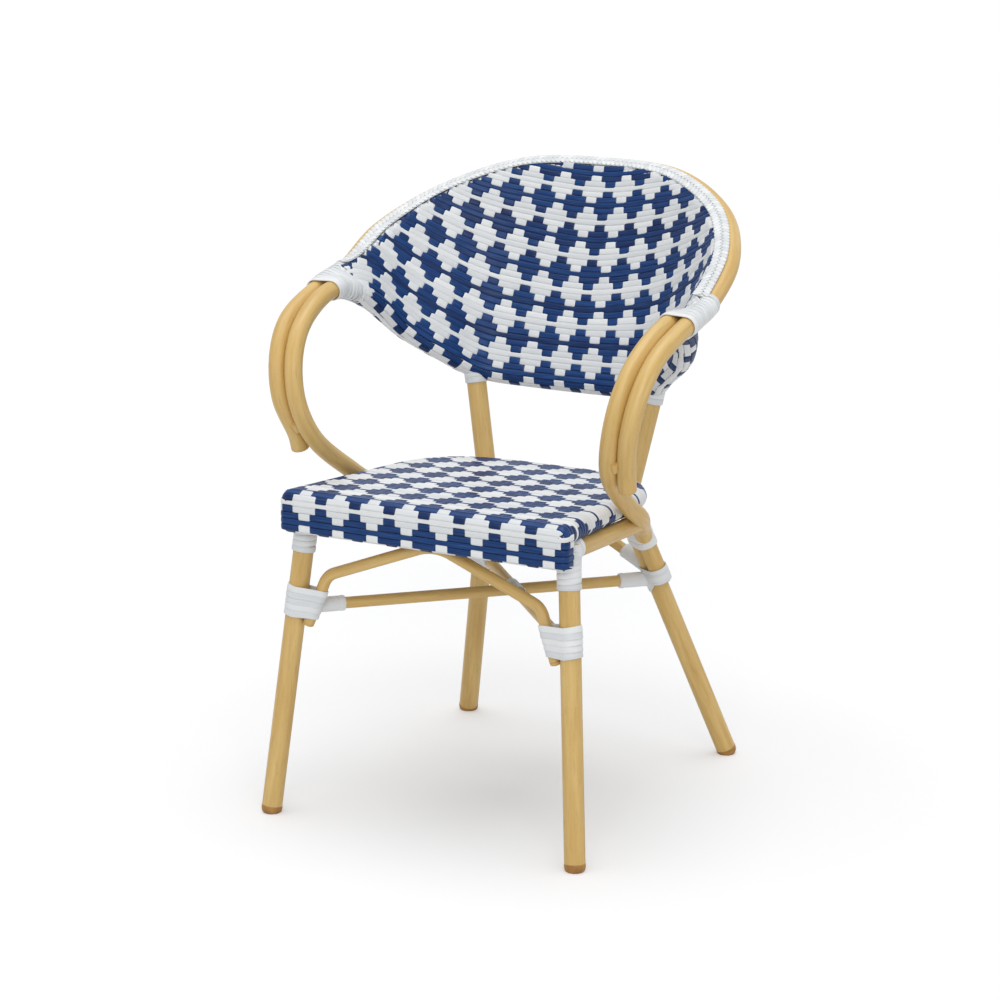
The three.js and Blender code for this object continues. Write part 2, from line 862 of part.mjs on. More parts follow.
// How many stations of a path, from its middle, lie behind the arm wrap
function stationsBehind(stations, y) {
  return outward(stations, sides.left).findIndex((p) => p.y < y);
}

function middleStations(stations, count) {
  const middle = (stations.length - 1) / 2;
  return stations.slice(middle - count, middle + count + 1);
}

// The stretch of the lower rail that the back weave is wrapped round
function railSkinStations() {
  return middleStations(railStations, stationsBehind(railStations, armWrapBack));
}

function along(stations, place) {
  const low = Math.floor(place);
  return stations[low].clone().lerp(stations[Math.min(low + 1, stations.length - 1)], place - low);
}

// The sheet's edges follow the hoop and the rail into the arm wraps, in shares from -1 to 1
function edgePoint(stations, across) {
  const side = Math.sign(across) || sides.left;
  const reach = stationsBehind(stations, (armWrapFront + armWrapBack) / 2);
  return along(outward(stations, side), Math.abs(across) * reach);
}

// At one edge: its tube's axis, and the ways to the sheet's other edge and to the sitter
function edgeFrame(stations, other, across) {
  const here = edgePoint(stations, across);
  const tangent = edgePoint(stations, across + tangentShare).sub(edgePoint(stations, across - tangentShare));
  tangent.normalize();
  const sheetward = edgePoint(other, across).sub(here);
  sheetward.addScaledVector(tangent, -sheetward.dot(tangent)).normalize();
  const sitterward = tangent.clone().cross(sheetward);
  const sitter = v(0, padFront / 2, notchZ);
  sitterward.multiplyScalar(Math.sign(sitterward.dot(sitter.sub(here))));
  return { here, sheetward, sitterward };
}

// A point beside the hoop: out along the braid's face and away from it
function besideHoop(across, width, away) {
  const { here, sheetward, sitterward } = edgeFrame(hoopStations, railStations, across);
  const lean = Math.cos(braidLean);
  const rise = Math.sin(braidLean);
  here.addScaledVector(sheetward, rise * width - lean * away);
  return here.addScaledVector(sitterward, lean * width + rise * away);
}

// The woven rim lies against the hoop, just below the braid
function rimCentre(across) {
  const reach = armR + gap;
  const away = reach - rimR - gap;
  return besideHoop(across, Math.sqrt((reach + rimR) ** 2 - away ** 2), away);
}

// Towards the arm wraps the woven edges are drawn in onto their tubes
function tucked(here, beside, across) {
  return here.lerp(beside, 1 - Math.abs(across) ** tuckShare);
}

// A point of the back sheet, which runs down the sitter's side of the rim and of the rail
function sheetPoint(across, up) {
  const top = edgeFrame(hoopStations, railStations, across);
  const low = edgeFrame(railStations, hoopStations, across);
  const rim = rimCentre(across).addScaledVector(top.sitterward, rimR - weaveThick / 2);
  const out = armR + gap + weaveSkin - weaveThick / 2;
  const skin = low.here.clone().addScaledVector(low.sitterward, out);
  return tucked(low.here, skin, across).lerp(tucked(top.here, rim, across), up);
}

// Shares of the hoop's stations that lie behind the arm wraps
function hoopShareSteps() {
  const reach = stationsBehind(hoopStations, (armWrapFront + armWrapBack) / 2);
  const count = stationsBehind(hoopStations, armWrapBack);
  return Array.from({ length: 2 * count + 1 }, (_, i) => (i - count) / reach);
}

function sheetGrid() {
  const points = [];
  const index = [];
  for (let row = 0; row <= sheetRows; row += 1) {
    for (let column = 0; column <= sheetColumns; column += 1) {
      points.push(sheetPoint((2 * column) / sheetColumns - 1, row / sheetRows));
      if (row < sheetRows && column < sheetColumns) {
        const a = row * (sheetColumns + 1) + column;
        const b = a + sheetColumns + 1;
        index.push(a, a + 1, b, a + 1, b + 1, b);
      }
    }
  }
  const grid = new THREE.BufferGeometry().setFromPoints(points);
  grid.setIndex(index);
  grid.computeVertexNormals();
  return grid;
}

// Gives an open sheet a thickness, half on each side, and closes it round its rim
function thicken(sheet, thickness) {
  const place = sheet.attributes.position;
  const lean = sheet.attributes.normal;
  const count = place.count;
  const points = [];
  for (const away of [thickness / 2, -thickness / 2]) {
    for (let i = 0; i < count; i += 1) {
      const normal = new THREE.Vector3().fromBufferAttribute(lean, i);
      points.push(new THREE.Vector3().fromBufferAttribute(place, i).addScaledVector(normal, away));
    }
  }
  const index = [];
  const edges = new Map();
  const faces = sheet.index.array;
  for (let i = 0; i < faces.length; i += 3) {
    const [a, b, c] = [faces[i], faces[i + 1], faces[i + 2]];
    index.push(a, b, c, a + count, c + count, b + count);
    for (const [from, to] of [[a, b], [b, c], [c, a]]) {
      edges.set(`${from} ${to}`, [from, to]);
    }
  }
  for (const [from, to] of edges.values()) {
    if (!edges.has(`${to} ${from}`)) {
      index.push(to, from, from + count, to, from + count, to + count);
    }
  }
  const solid = new THREE.BufferGeometry().setFromPoints(points);
  solid.setIndex(index);
  solid.computeVertexNormals();
  return solid;
}

// The flat braid covers the seam between the hoop and the woven rim
function braidRings(extra) {
  const [low, high] = [armR + gap - extra, armR + gap + braidThick + extra];
  const section = [[-extra, high], [braidWidth + extra, high], [braidWidth + extra, low], [-extra, low]];
  return hoopShareSteps().map((across) => section.map(([w, away]) => besideHoop(across, w, away)));
}

function buildBraid() {
  const wraps = Object.values(sides).map((side) => armWrapSkin(side, gap));
  put('hoop_braid', cut(throughRings(braidRings(0)), wraps), strand);
}

function buildBackWeave() {
  const railSkin = rod(railSkinStations(), armR + gap + weaveSkin);
  const rimAt = (across) => tucked(edgePoint(hoopStations, across), rimCentre(across), across);
  const rim = rod(hoopShareSteps().map(rimAt), rimR, boreSides);
  const sheet = join(join(thicken(sheetGrid(), weaveThick), railSkin), rim);
  const tools = [railTool(), hoopTool(), throughRings(braidRings(gap))];
  for (const side of Object.values(sides)) {
    tools.push(armWrapSkin(side, gap), rearLegTool(side));
  }
  put('back_weave', largest(cut(sheet, tools)), weave);
}

// Outline of the seat seen from above, drawn in from its edge by an inset
function padOutline(inset) {
  const shape = new THREE.Shape();
  const front = padFront + inset;
  const back = padBack - inset;
  const frontHalf = padFrontHalf - inset;
  const backHalf = padBackHalf - inset;
  const frontRound = Math.max(padFrontCorner - inset, padSkin);
  const backRound = Math.max(padBackCorner - inset, padSkin);
  const halfAt = (y) => THREE.MathUtils.mapLinear(y, front, back, frontHalf, backHalf);
  const [low, high] = [front + frontRound, back - backRound];
  shape.moveTo(frontRound - frontHalf, front);
  shape.lineTo(frontHalf - frontRound, front);
  shape.quadraticCurveTo(frontHalf, front, halfAt(low), low);
  shape.lineTo(halfAt(high), high);
  shape.quadraticCurveTo(backHalf, back, backHalf - backRound, back);
  shape.lineTo(backRound - backHalf, back);
  shape.quadraticCurveTo(-backHalf, back, -halfAt(high), high);
  shape.lineTo(-halfAt(low), low);
  shape.quadraticCurveTo(-frontHalf, front, frontRound - frontHalf, front);
  return shape;
}

// A plate of the seat's outline between two depths below the seat's top
function padPlate(shape, top, bottom, round) {
  const plate = new THREE.ExtrudeGeometry(shape, {
    depth: bottom - top - 2 * round,
    curveSegments: cornerSteps,
    bevelEnabled: round > 0,
    bevelThickness: round,
    bevelSize: round,
    bevelOffset: -round,
    bevelSegments: roundSteps,
  });
  return plate.translate(0, 0, seatHeight - bottom + round);
}

// Leans a level seat piece back about the seat's front edge
function leanBack(geometry) {
  geometry.translate(0, -padFront, -seatHeight);
  geometry.rotateX(-Math.atan(padSlope));
  return geometry.translate(0, padFront, seatHeight);
}

// The front of the weave hangs down as an apron and turns in below
function padApron() {
  const width = 2 * (padFrontHalf + overrun);
  const block = new THREE.BoxGeometry(width, 2 * padLipDepth, 2 * (padDrop + overrun));
  block.translate(0, padFront, seatHeight);
  const skirt = toSolid(padPlate(padOutline(0), padRound, padDrop, 0)).intersect(toSolid(block));
  return toGeometry(skirt.subtract(toSolid(padPlate(padOutline(padSkin), 0, padDrop - padSkin, 0))));
}

function buildSeatWeave() {
  const slab = padPlate(padOutline(0), 0, padEdge, padRound);
  const inside = padPlate(padOutline(padSkin), padSheet, padEdge + overrun, padRound - padSkin);
  put('seat_weave', leanBack(join(cut(slab, [inside]), padApron())), weave);
}

function buildPadRing() {
  const shape = padOutline(padSkin + gap);
  shape.holes.push(padOutline(padSkin + gap + padRing));
  const top = padSheet + gap;
  put('seat_pad_ring', leanBack(padPlate(shape, top, top + padRing, padRingRound)), paint);
}

for (const [name, side] of Object.entries(sides)) {
  buildLegs(name, side);
  buildArmWeld(name, side);
  buildStretcherWraps(name, side);
  buildArmWrap(name, side);
  buildSleeves(name, side);
  buildPostWrap(name, side);
  buildLegCollar(name, side);
  buildLegWinding(name, side);
}
buildHoopAndRail();
buildSeatRails();
buildCross();
buildBows();
buildFeetAndPlugs();
buildCentreWrap();
buildBraid();
buildBackWeave();
buildSeatWeave();
buildPadRing();

export default chair;
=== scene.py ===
import math
from collections import namedtuple

import bmesh
import bpy
import numpy as np
from mathutils import Matrix, Vector


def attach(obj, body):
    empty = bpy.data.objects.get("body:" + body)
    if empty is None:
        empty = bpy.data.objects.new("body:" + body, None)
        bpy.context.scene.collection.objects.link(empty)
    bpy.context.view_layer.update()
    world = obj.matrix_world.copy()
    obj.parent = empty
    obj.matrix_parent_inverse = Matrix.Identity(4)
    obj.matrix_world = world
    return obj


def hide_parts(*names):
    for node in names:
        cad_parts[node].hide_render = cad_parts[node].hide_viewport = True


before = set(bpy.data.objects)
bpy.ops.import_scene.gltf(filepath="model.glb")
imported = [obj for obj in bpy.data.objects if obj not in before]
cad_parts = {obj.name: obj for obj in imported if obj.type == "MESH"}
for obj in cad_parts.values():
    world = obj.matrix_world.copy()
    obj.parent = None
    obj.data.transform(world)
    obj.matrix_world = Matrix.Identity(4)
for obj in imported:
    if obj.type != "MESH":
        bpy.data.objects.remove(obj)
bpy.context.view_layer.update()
dice = np.random.default_rng(7)

# Sizes in millimetres, as in the CAD source: +X is the sitter's left and the sitter faces -Y
MM = 0.001
X, Y, Z = 0, 1, 2
SIDES = {"left": 1, "right": -1}
LEG_R, ARM_R, BOW_R, GAP = 14.0, 12.5, 8.0, 0.3
SEAT, PAD_FRONT, PAD_BACK, SLOPE = 458.0, -267.0, 118.0, 0.058
HOOP_HALF, HOOP_BACK, HOOP_TOP = 281.6, 273.4, 836.0
PITCH = 2 * ARM_R + GAP
INNER = HOOP_HALF - PITCH
NOTCH, RAIL_Z, RAIL_BACK, ARM_REACH, ARM_END = 690.0, 546.0, 164.0, 184.5, 489.0
BAND_LOW, BAND_HIGH = 337.0, 356.0
CROSS_FRONT, CROSS_REAR = 288.0, 276.0
RAIL_DROP = 40.5

# Each leg: where it stands, how far it shifts on its way up, and how high that way is
FRONT_FOOT, FRONT_SHIFT, FRONT_TOP = (233.9, -271.3), (-36.3, 47.7), 412.0
REAR_FOOT, REAR_SHIFT, REAR_BEND = (215.1, 251.6), (-105.8, -129.0), 388.0
POST_FOOT, POST_SHIFT, POST_TOP = (109.3, 122.6), (33.2, 20.4), 556.0
FOOT_JOINT = 10.3
FRONT_TUBE_TOP = 424.6
LEG_BEND = 60.0
ARM_FOOT_TURN = math.radians(-42)

# The small bars
BOW_END, BOW_SHOULDER, BOW_SHOULDER_SHARE = 269.0, 337.0, 0.6321
REAR_BOW_UP, REAR_BOW_Y, REAR_BOW_RISE = 12.0, 173.0, 69.0
SIDE_BEND, CROWN_BEND = 26.0, 70.0

# Points of the curved tubes, as shares of the sizes above
HOOP_SHARES = [(0, 1, 1), (0.4325, 0.929, 0.961), (0.783, 0.7, 0.711), (0.968, 0.365, 0.395),
               (0.994, 0.065, 0.107)]
ARM_SHARES = [(1, -0.278, 1), (0.987, -0.754, 0.8634), (0.96, -0.948, 0.6793), (0.923, -1, 0.4434),
              (0.878, -0.888, 0.2138)]
ARM_TIP_SHARES = (0.872, -0.86)
RUN_SHARES = [(0.834, 0.4721, 0.1153), (0.822, 0.5761, 0.3457), (0.684, 0.7894, 0.6931)]
RAIL_SHARES = [(0, 1, 0), (0.273, 0.988, 0.007), (0.468, 0.927, 0.036), (0.585, 0.811, 0.115),
               (0.655, 0.689, 0.222), (0.847, 0.433, 0.505), (0.956, 0.116, 0.84)]


# Points, directions and lines
def vec(*xyz):
    return np.array(xyz, float)


def norm(v):
    return v / np.maximum(np.linalg.norm(v, axis=-1, keepdims=True), 1e-9)


def dots(a, b):
    return np.sum(a * b, -1, keepdims=True)


def facing(v, way):
    """Directions, each turned round where it points away from the given way."""
    return v * np.sign(dots(v, way))


def smoothstep(x):
    x = np.clip(x, 0, 1)
    return x * x * (3 - 2 * x)


def mirrored(points):
    """The points after their mirror images, for a list that starts at the middle."""
    return np.array([p * (-1, 1, 1) for p in points[:0:-1]] + list(points))


def run_of(line):
    """How far along the line each of its points lies."""
    return np.concatenate([[0], np.cumsum(np.linalg.norm(np.diff(line, axis=0), axis=1))])


def pick(line, at, run=None):
    """Points of a line at places along its own length."""
    run = run_of(line) if run is None else run
    return np.stack([np.interp(at, run, line[:, k]) for k in range(line.shape[1])], -1)


def even(line, step):
    length = run_of(line)[-1]
    return pick(line, np.linspace(0, length, max(2, int(round(length / step)) + 1)))


def straight(start, end, step):
    return even(np.array([start, end]), step)


def tangents(line):
    return norm(np.gradient(line, axis=0))


def rounded(points):
    """A smooth curve through the points, evenly spaced."""
    p = np.asarray(points, float)
    p = np.vstack([2 * p[0] - p[1], p, 2 * p[-1] - p[-2]])
    fine = []
    for i in range(1, len(p) - 2):
        before, here, there, after = p[i - 1:i + 3]
        pairs = ((before, here), (here, there), (there, after))
        d = [math.sqrt(np.linalg.norm(b - a)) for a, b in pairs]
        rise = (there - here) / d[1]
        t1 = ((here - before) / d[0] - (there - before) / (d[0] + d[1]) + rise) * d[1]
        t2 = (rise - (after - here) / (d[1] + d[2]) + (after - there) / d[2]) * d[1]
        t = np.linspace(0, 1, 40, endpoint=False)[:, None]
        square = (3 * (there - here) - 2 * t1 - t2) * t ** 2
        fine.append(here + t1 * t + square + (2 * (here - there) + t1 + t2) * t ** 3)
    return even(np.vstack(fine + [p[-2][None]]), 4.0)


def bent(corners, radii, step=5.0):
    """Straight runs with round bends at the inner corners."""
    out = [corners[0]]
    for i, radius in enumerate(radii, 1):
        a, c, b = corners[i - 1:i + 2]
        u, w = norm(a - c), norm(b - c)
        half = math.acos(float(np.clip(u @ w, -1, 1))) / 2
        cut = radius / math.tan(half)
        middle = c + norm(u + w) * radius / math.sin(half)
        start, end = c + u * cut - middle, c + w * cut - middle
        turn = math.pi - 2 * half
        for t in np.linspace(0, 1, 13):
            arm = (np.sin((1 - t) * turn) * start + np.sin(t * turn) * end) / math.sin(turn)
            out.append(middle + arm)
    out.append(corners[-1])
    return even(np.array(out), step)


def half_of(line, side):
    """The left half of a line from its middle on, or the same on the other side."""
    return line[len(line) // 2:] * (side, 1, 1)


def cross_at(line, measure):
    """Where a line first passes a measure's zero."""
    m = np.array([measure(p) for p in line])
    i = int(np.argmax(np.sign(m[1:]) != np.sign(m[0])))
    f = m[i] / (m[i] - m[i + 1])
    return line[i] + (line[i + 1] - line[i]) * f


def where(line, axis, value):
    """Where a line first passes a value of one coordinate."""
    return cross_at(line, lambda p: p[axis] - value)


# Where the tubes run
def seat_z(y, drop=0.0):
    return SEAT - drop - (y - PAD_FRONT) * SLOPE


def leaning(foot, shift, share, side, z):
    return vec(side * (foot[X] + shift[X] * share), foot[Y] + shift[Y] * share, z)


def front_leg(z, side=1):
    return leaning(FRONT_FOOT, FRONT_SHIFT, z / FRONT_TOP, side, z)


def rear_leg(z, side=1):
    return leaning(REAR_FOOT, REAR_SHIFT, z / REAR_BEND, side, z)


def post(z, side=1):
    return leaning(POST_FOOT, POST_SHIFT, (z - REAR_BEND) / (POST_TOP - REAR_BEND), side, z)


def leg_way(leg, side):
    """The direction of a leg, upwards."""
    return norm(leg(REAR_BEND, side) - leg(0, side))


def arm_foot(z, side=1):
    """The inner arm tube where it runs down beside the rear leg."""
    reach = LEG_R + ARM_R + GAP
    beside = vec(side * reach * math.cos(ARM_FOOT_TURN), reach * math.sin(ARM_FOOT_TURN), 0)
    return rear_leg(z, side) + beside


def arm_run(outward):
    """The big bend of an arm tube, some way outward from the inner tube."""
    return [vec(x * INNER + outward, y * ARM_REACH, SEAT + z * (NOTCH - SEAT)) for x, y, z in ARM_SHARES]


def hoop_line():
    rise = HOOP_TOP - NOTCH
    top = [vec(x * HOOP_HALF, y * HOOP_BACK, NOTCH + z * rise) for x, y, z in HOOP_SHARES]
    tip = vec(ARM_TIP_SHARES[X] * INNER + PITCH, ARM_TIP_SHARES[Y] * ARM_REACH, ARM_END)
    return rounded(mirrored(top + arm_run(PITCH) + [tip]))


def rail_line():
    rise, fall, deep = NOTCH - RAIL_Z, SEAT - BAND_HIGH, PAD_BACK - PAD_FRONT
    back = [vec(x * INNER, y * RAIL_BACK, RAIL_Z + z * rise) for x, y, z in RAIL_SHARES]
    run = [vec(x * INNER, PAD_FRONT + y * deep, SEAT - z * fall) for x, y, z in RUN_SHARES]
    before = run[-1] + 0.8 * (arm_foot(BAND_HIGH) - run[-1])
    after = arm_foot(BAND_LOW + (BAND_HIGH - BAND_LOW) * 0.1)
    return rounded(mirrored(back + arm_run(0) + run + [before, after, arm_foot(CROSS_REAR + 10)]))


HOOP = hoop_line()
RAIL = rail_line()


def side_rail(side):
    start = front_leg(FRONT_TOP, side)
    start[Z] = seat_z(start[Y], RAIL_DROP)
    up = half_of(RAIL, side)[::-1]
    return start, cross_at(up, lambda p: p[Z] - seat_z(p[Y], RAIL_DROP))


def cross_ends(side):
    return front_leg(CROSS_FRONT, side), rear_leg(CROSS_REAR, -side)


def cross_middle():
    front, rear = cross_ends(1)
    return front + (rear - front) * front[X] / (front[X] - rear[X])


def crown_corner(foot, crown):
    """Where two straight runs would meet so that the bend between them peaks about at the crown."""
    run = np.linalg.norm((foot - crown)[:2])
    rise = 0.0
    for _ in range(4):
        slope = math.atan((crown[Z] + rise - foot[Z]) / run)
        rise = CROWN_BEND * math.tan(slope) * math.sin(slope) / 2
    return crown + vec(0, 0, rise)


def front_bow():
    z = seat_z(front_leg(FRONT_TOP)[Y], RAIL_DROP) - ARM_R - BOW_R - GAP
    low = front_leg(BOW_END) - (LEG_R + BOW_R + GAP, 0, 0)
    shoulder = vec(INNER * BOW_SHOULDER_SHARE, front_leg(BOW_SHOULDER)[Y], BOW_SHOULDER)
    peak = crown_corner(shoulder, vec(0, front_leg(z)[Y], z))
    return bent(mirrored([peak, shoulder, low]), [SIDE_BEND, CROWN_BEND, SIDE_BEND])


def rear_bow():
    end = rear_leg(CROSS_REAR + REAR_BOW_UP)
    peak = crown_corner(end, vec(0, REAR_BOW_Y, CROSS_REAR + REAR_BOW_RISE))
    return bent(mirrored([peak, end]), [CROWN_BEND])


# Node trees
class Net:
    """A node tree under construction."""

    def __init__(self, tree):
        self.tree = tree

    def give(self, socket, value):
        """Links a socket in, or sets a plain value."""
        if isinstance(value, bpy.types.NodeSocket):
            self.tree.links.new(value, socket)
        else:
            socket.default_value = value

    def node(self, kind, inputs=None, **settings):
        node = self.tree.nodes.new(kind)
        for key, value in settings.items():
            setattr(node, key, value)
        for key, value in (inputs or {}).items():
            self.give(node.inputs[key], value)
        return node

    def add(self, kind, inputs=None, **settings):
        """A new node's first output."""
        return self.node(kind, inputs, **settings).outputs[0]

    def maths(self, operation, a, b=0.0):
        return self.add("ShaderNodeMath", {0: a, 1: b}, operation=operation)

    def times(self, a, b):
        return self.maths("MULTIPLY", a, b)

    def sum(self, a, b):
        """The sum of two vectors."""
        return self.add("ShaderNodeVectorMath", {0: a, 1: b}, operation="ADD")


STRAND_SOCKETS = (("Width", "Float", 0.008), ("Thickness", "Float", 0.002), ("Edge power", "Float", 1.0),
                  ("Section sides", "Int", 8), ("Finish", "Material", None))


def strand_tree():
    """Nodes that turn lines with their own directions into closed tubes or flat strands."""
    tree = bpy.data.node_groups.new("strand_from_line", "GeometryNodeTree")
    tree.interface.new_socket(name="Lines", in_out="INPUT", socket_type="NodeSocketGeometry")
    names = {}
    for name, kind, default in STRAND_SOCKETS:
        socket = tree.interface.new_socket(name=name, in_out="INPUT", socket_type="NodeSocket" + kind)
        names[name] = socket.identifier
        if default is not None:
            socket.default_value = default
    tree.interface.new_socket(name="Strands", in_out="OUTPUT", socket_type="NodeSocketGeometry")
    net = Net(tree)
    given = net.node("NodeGroupInput").outputs

    def stored(name, kind="FLOAT"):
        node = net.node("GeometryNodeInputNamedAttribute", {"Name": name}, data_type=kind)
        return next(o for o in node.outputs if o.enabled and o.name == "Attribute")

    def step(direction, size, share, place):
        """A step along a stored direction, from half the size, a stored share and the place on the ring."""
        half = net.times(net.times(size, 0.5), stored(share))
        flat = net.maths("POWER", net.maths("ABSOLUTE", place), given["Edge power"])
        length = net.times(half, net.times(flat, net.maths("SIGN", place)))
        inputs = {0: stored(direction, "FLOAT_VECTOR"), "Scale": length}
        return net.add("ShaderNodeVectorMath", inputs, operation="SCALE")

    inputs = {"Radius": 1.0, "Resolution": given["Section sides"]}
    circle = net.add("GeometryNodeCurvePrimitiveCircle", inputs, mode="RADIUS")
    inputs = {"Name": "ring", "Geometry": circle}
    ring = net.node("GeometryNodeStoreNamedAttribute", inputs, data_type="FLOAT_VECTOR", domain="POINT")
    value = next(i for i in ring.inputs if i.enabled and i.name == "Value")
    net.give(value, net.add("GeometryNodeInputPosition"))
    inputs = {"Curve": net.add("GeometryNodeMeshToCurve", {"Mesh": given["Lines"]}),
              "Profile Curve": ring.outputs["Geometry"], "Fill Caps": True}
    solid = net.add("GeometryNodeCurveToMesh", inputs)
    place = net.node("ShaderNodeSeparateXYZ", {0: stored("ring", "FLOAT_VECTOR")}).outputs
    over = step("side", given["Width"], "wide", place[X])
    out = step("lie", given["Thickness"], "deep", place[Y])
    spot = net.sum(stored("centre", "FLOAT_VECTOR"), net.sum(over, out))
    moved = net.add("GeometryNodeSetPosition", {"Geometry": solid, "Position": spot})
    soft = net.add("GeometryNodeSetShadeSmooth", {"Geometry": moved})
    real = net.add("GeometryNodeRealizeInstances", {"Geometry": soft})
    finish = net.add("GeometryNodeSetMaterial", {"Geometry": real, "Material": given["Finish"]})
    net.node("NodeGroupOutput", {"Strands": finish})
    return tree, names


STRAND_TREE, STRAND_INPUTS = strand_tree()


# Finishes
PAINT, STRAND, WOVEN, PLASTIC = "bamboo_paint", "white_strand", "blue_white_weave", "brown_plastic"


def linear(*rgb):
    """A colour's linear values, from its usual 0 to 255 ones."""
    c = np.array(rgb) / 255
    return tuple(np.where(c <= 0.04045, c / 12.92, ((c + 0.055) / 1.055) ** 2.4)) + (1.0,)


class Finish(Net):
    """A material under construction."""

    def __init__(self, name):
        self.material = bpy.data.materials.new(name)
        self.material.use_nodes = True
        super().__init__(self.material.node_tree)
        self.shader = self.tree.nodes["Principled BSDF"].inputs

    def attribute(self, name, output="Fac"):
        return self.node("ShaderNodeAttribute", attribute_name=name).outputs[output]

    def ring(self):
        """Where a point lies on its strand's section, in numbers from -1 to 1."""
        return self.node("ShaderNodeSeparateXYZ", {0: self.attribute("ring", "Vector")}).outputs

    def place(self):
        return self.node("ShaderNodeTexCoord").outputs["Object"]

    def ramp(self, value, *stops):
        names = ("Value", "From Min", "From Max", "To Min", "To Max")
        return self.add("ShaderNodeMapRange", dict(zip(names, (value, *stops))))

    def noise(self, vector, scale, detail):
        return self.add("ShaderNodeTexNoise", {"Vector": vector, "Scale": scale, "Detail": detail})

    def over(self, base, colour, pattern, low, high, share=1.0):
        """Lays a colour over the base, up to a share of it, as the pattern goes from low to high."""
        inputs = {0: self.ramp(pattern, low, high, 0.0, share), 6: base, 7: colour}
        return self.node("ShaderNodeMix", inputs, data_type="RGBA").outputs[2]

    def join(self, x, y, z):
        return self.add("ShaderNodeCombineXYZ", {0: x, 1: y, 2: z})

    def finish(self, colour, roughness, height, strength, distance):
        """Gives the shader its colour, its roughness and a fine bump."""
        bump = {"Height": height, "Strength": strength, "Distance": distance}
        self.give(self.shader["Base Color"], colour)
        self.give(self.shader["Roughness"], roughness)
        self.give(self.shader["Normal"], self.add("ShaderNodeBump", bump))
        return self.material


def bamboo_paint():
    """Tan paint with broad and fine streaks along the tube and small brown flecks."""
    f = Finish("bamboo_paint_tan")
    ring = f.ring()
    tone = f.times(f.attribute("tone"), 40.0)
    around = f.join(f.maths("ADD", ring[X], tone), ring[Y], 0.0)

    def lengthwise(scale, per_mm, detail):
        along = f.times(f.attribute("along"), per_mm)
        return f.noise(f.sum(around, f.join(0.0, 0.0, along)), scale, detail)

    broad = lengthwise(1.6, 0.006, 3.0)
    streak = lengthwise(6.5, 0.006, 4.0)
    fleck = lengthwise(9.0, 0.05, 2.0)
    cloud = f.noise(f.place(), 9.0, 3.0)
    tan, pale, honey = linear(201, 164, 94), linear(219, 187, 120), linear(209, 171, 102)
    brown, dark = linear(164, 122, 66), linear(136, 94, 50)
    base = f.over(tan, pale, broad, 0.3, 0.7)
    base = f.over(base, honey, cloud, 0.35, 0.75, 0.45)
    base = f.over(base, brown, streak, 0.56, 0.76, 0.42)
    base = f.over(base, dark, fleck, 0.69, 0.76, 0.5)
    roughness = f.ramp(cloud, 0.2, 0.8, 0.34, 0.46)
    return f.finish(base, roughness, f.maths("ADD", streak, fleck), 0.12, 0.0006)


def strand_finish(name, pale, deep, crown_highlight, roughness, edge_shade_share, specular):
    """Flat plastic strand: faint lengthwise ribs with painted highlight streaks along them, tone changes
    from strand to strand, and painted shade that darkens its edges where the strands meet.
    """
    f = Finish(name)
    across = f.ring()[X]
    tone = f.attribute("tone")
    along = f.times(f.attribute("along"), 0.012)
    ribs = f.noise(f.join(f.times(across, 3.2), f.times(tone, 30.0), along), 2.2, 2.0)
    cloud = f.noise(f.place(), 60.0, 3.0)
    base = f.over(pale, deep, tone, 0.0, 1.0)
    # painted highlight: lighter streaks along the ribs stand in for the gloss that light makes along each
    # strand's rounded crown
    base = f.over(base, crown_highlight, ribs, 0.45, 0.75, 0.5)
    base = f.over(base, deep, cloud, 0.5, 0.8, 0.3)
    # painted shade: towards its edges the strand turns to the deep colour, standing in for the shadow in
    # the grooves between strands
    base = f.over(base, deep, f.maths("ABSOLUTE", across), 0.55, 1.0, edge_shade_share)
    f.shader["Specular IOR Level"].default_value = specular
    uneven = f.ramp(cloud, 0.2, 0.8, roughness - 0.05, roughness + 0.08)
    return f.finish(base, uneven, ribs, 0.25, 0.0004)


def foot_plastic():
    f = Finish("brown_foot_plastic")
    cloud = f.noise(f.place(), 90.0, 4.0)
    fine = f.noise(f.place(), 900.0, 2.0)
    base = f.over(linear(176, 130, 66), linear(150, 106, 50), cloud, 0.35, 0.7)
    return f.finish(base, f.ramp(fine, 0.2, 0.8, 0.42, 0.58), fine, 0.2, 0.0003)


TAN = bamboo_paint()
# each strand's third colour is a painted highlight, and its edge share sets how much painted shade darkens
# its edges
BLUE = strand_finish("navy_strand", linear(6, 55, 114), linear(0, 24, 72), linear(56, 104, 162),
                     roughness=0.34, edge_shade_share=0.8, specular=0.25)
WHITE = strand_finish("white_strand_gloss", linear(234, 236, 237), linear(212, 216, 219),
                      linear(239, 240, 241), roughness=0.4, edge_shade_share=0.35, specular=0.3)
BROWN = foot_plastic()


# Strands: lines with a width, made solid by the strand nodes
Section = namedtuple("Section", "width thickness sides power finish slot")
BLUE_ROW = Section(8.7, 2.2, 10, 0.8, BLUE, WOVEN)
WHITE_ROW = Section(8.7, 2.0, 10, 0.65, WHITE, WOVEN)
TUBE_SIDES = {LEG_R: 28, ARM_R: 24, BOW_R: 18}


def white_section(width, thickness, sides, power):
    return Section(width, thickness, sides, power, WHITE, STRAND)


def turned(line):
    """For each point of a line, two directions across it that don't twist."""
    way = tangents(line)
    first = np.cross(way[0], (0, 0, 1) if abs(way[0][Z]) < 0.9 else (1, 0, 0))
    side = [norm(first)]
    for t in way[1:]:
        side.append(norm(side[-1] - t * (side[-1] @ t)))
    side = np.array(side)
    return side, norm(np.cross(way, side))


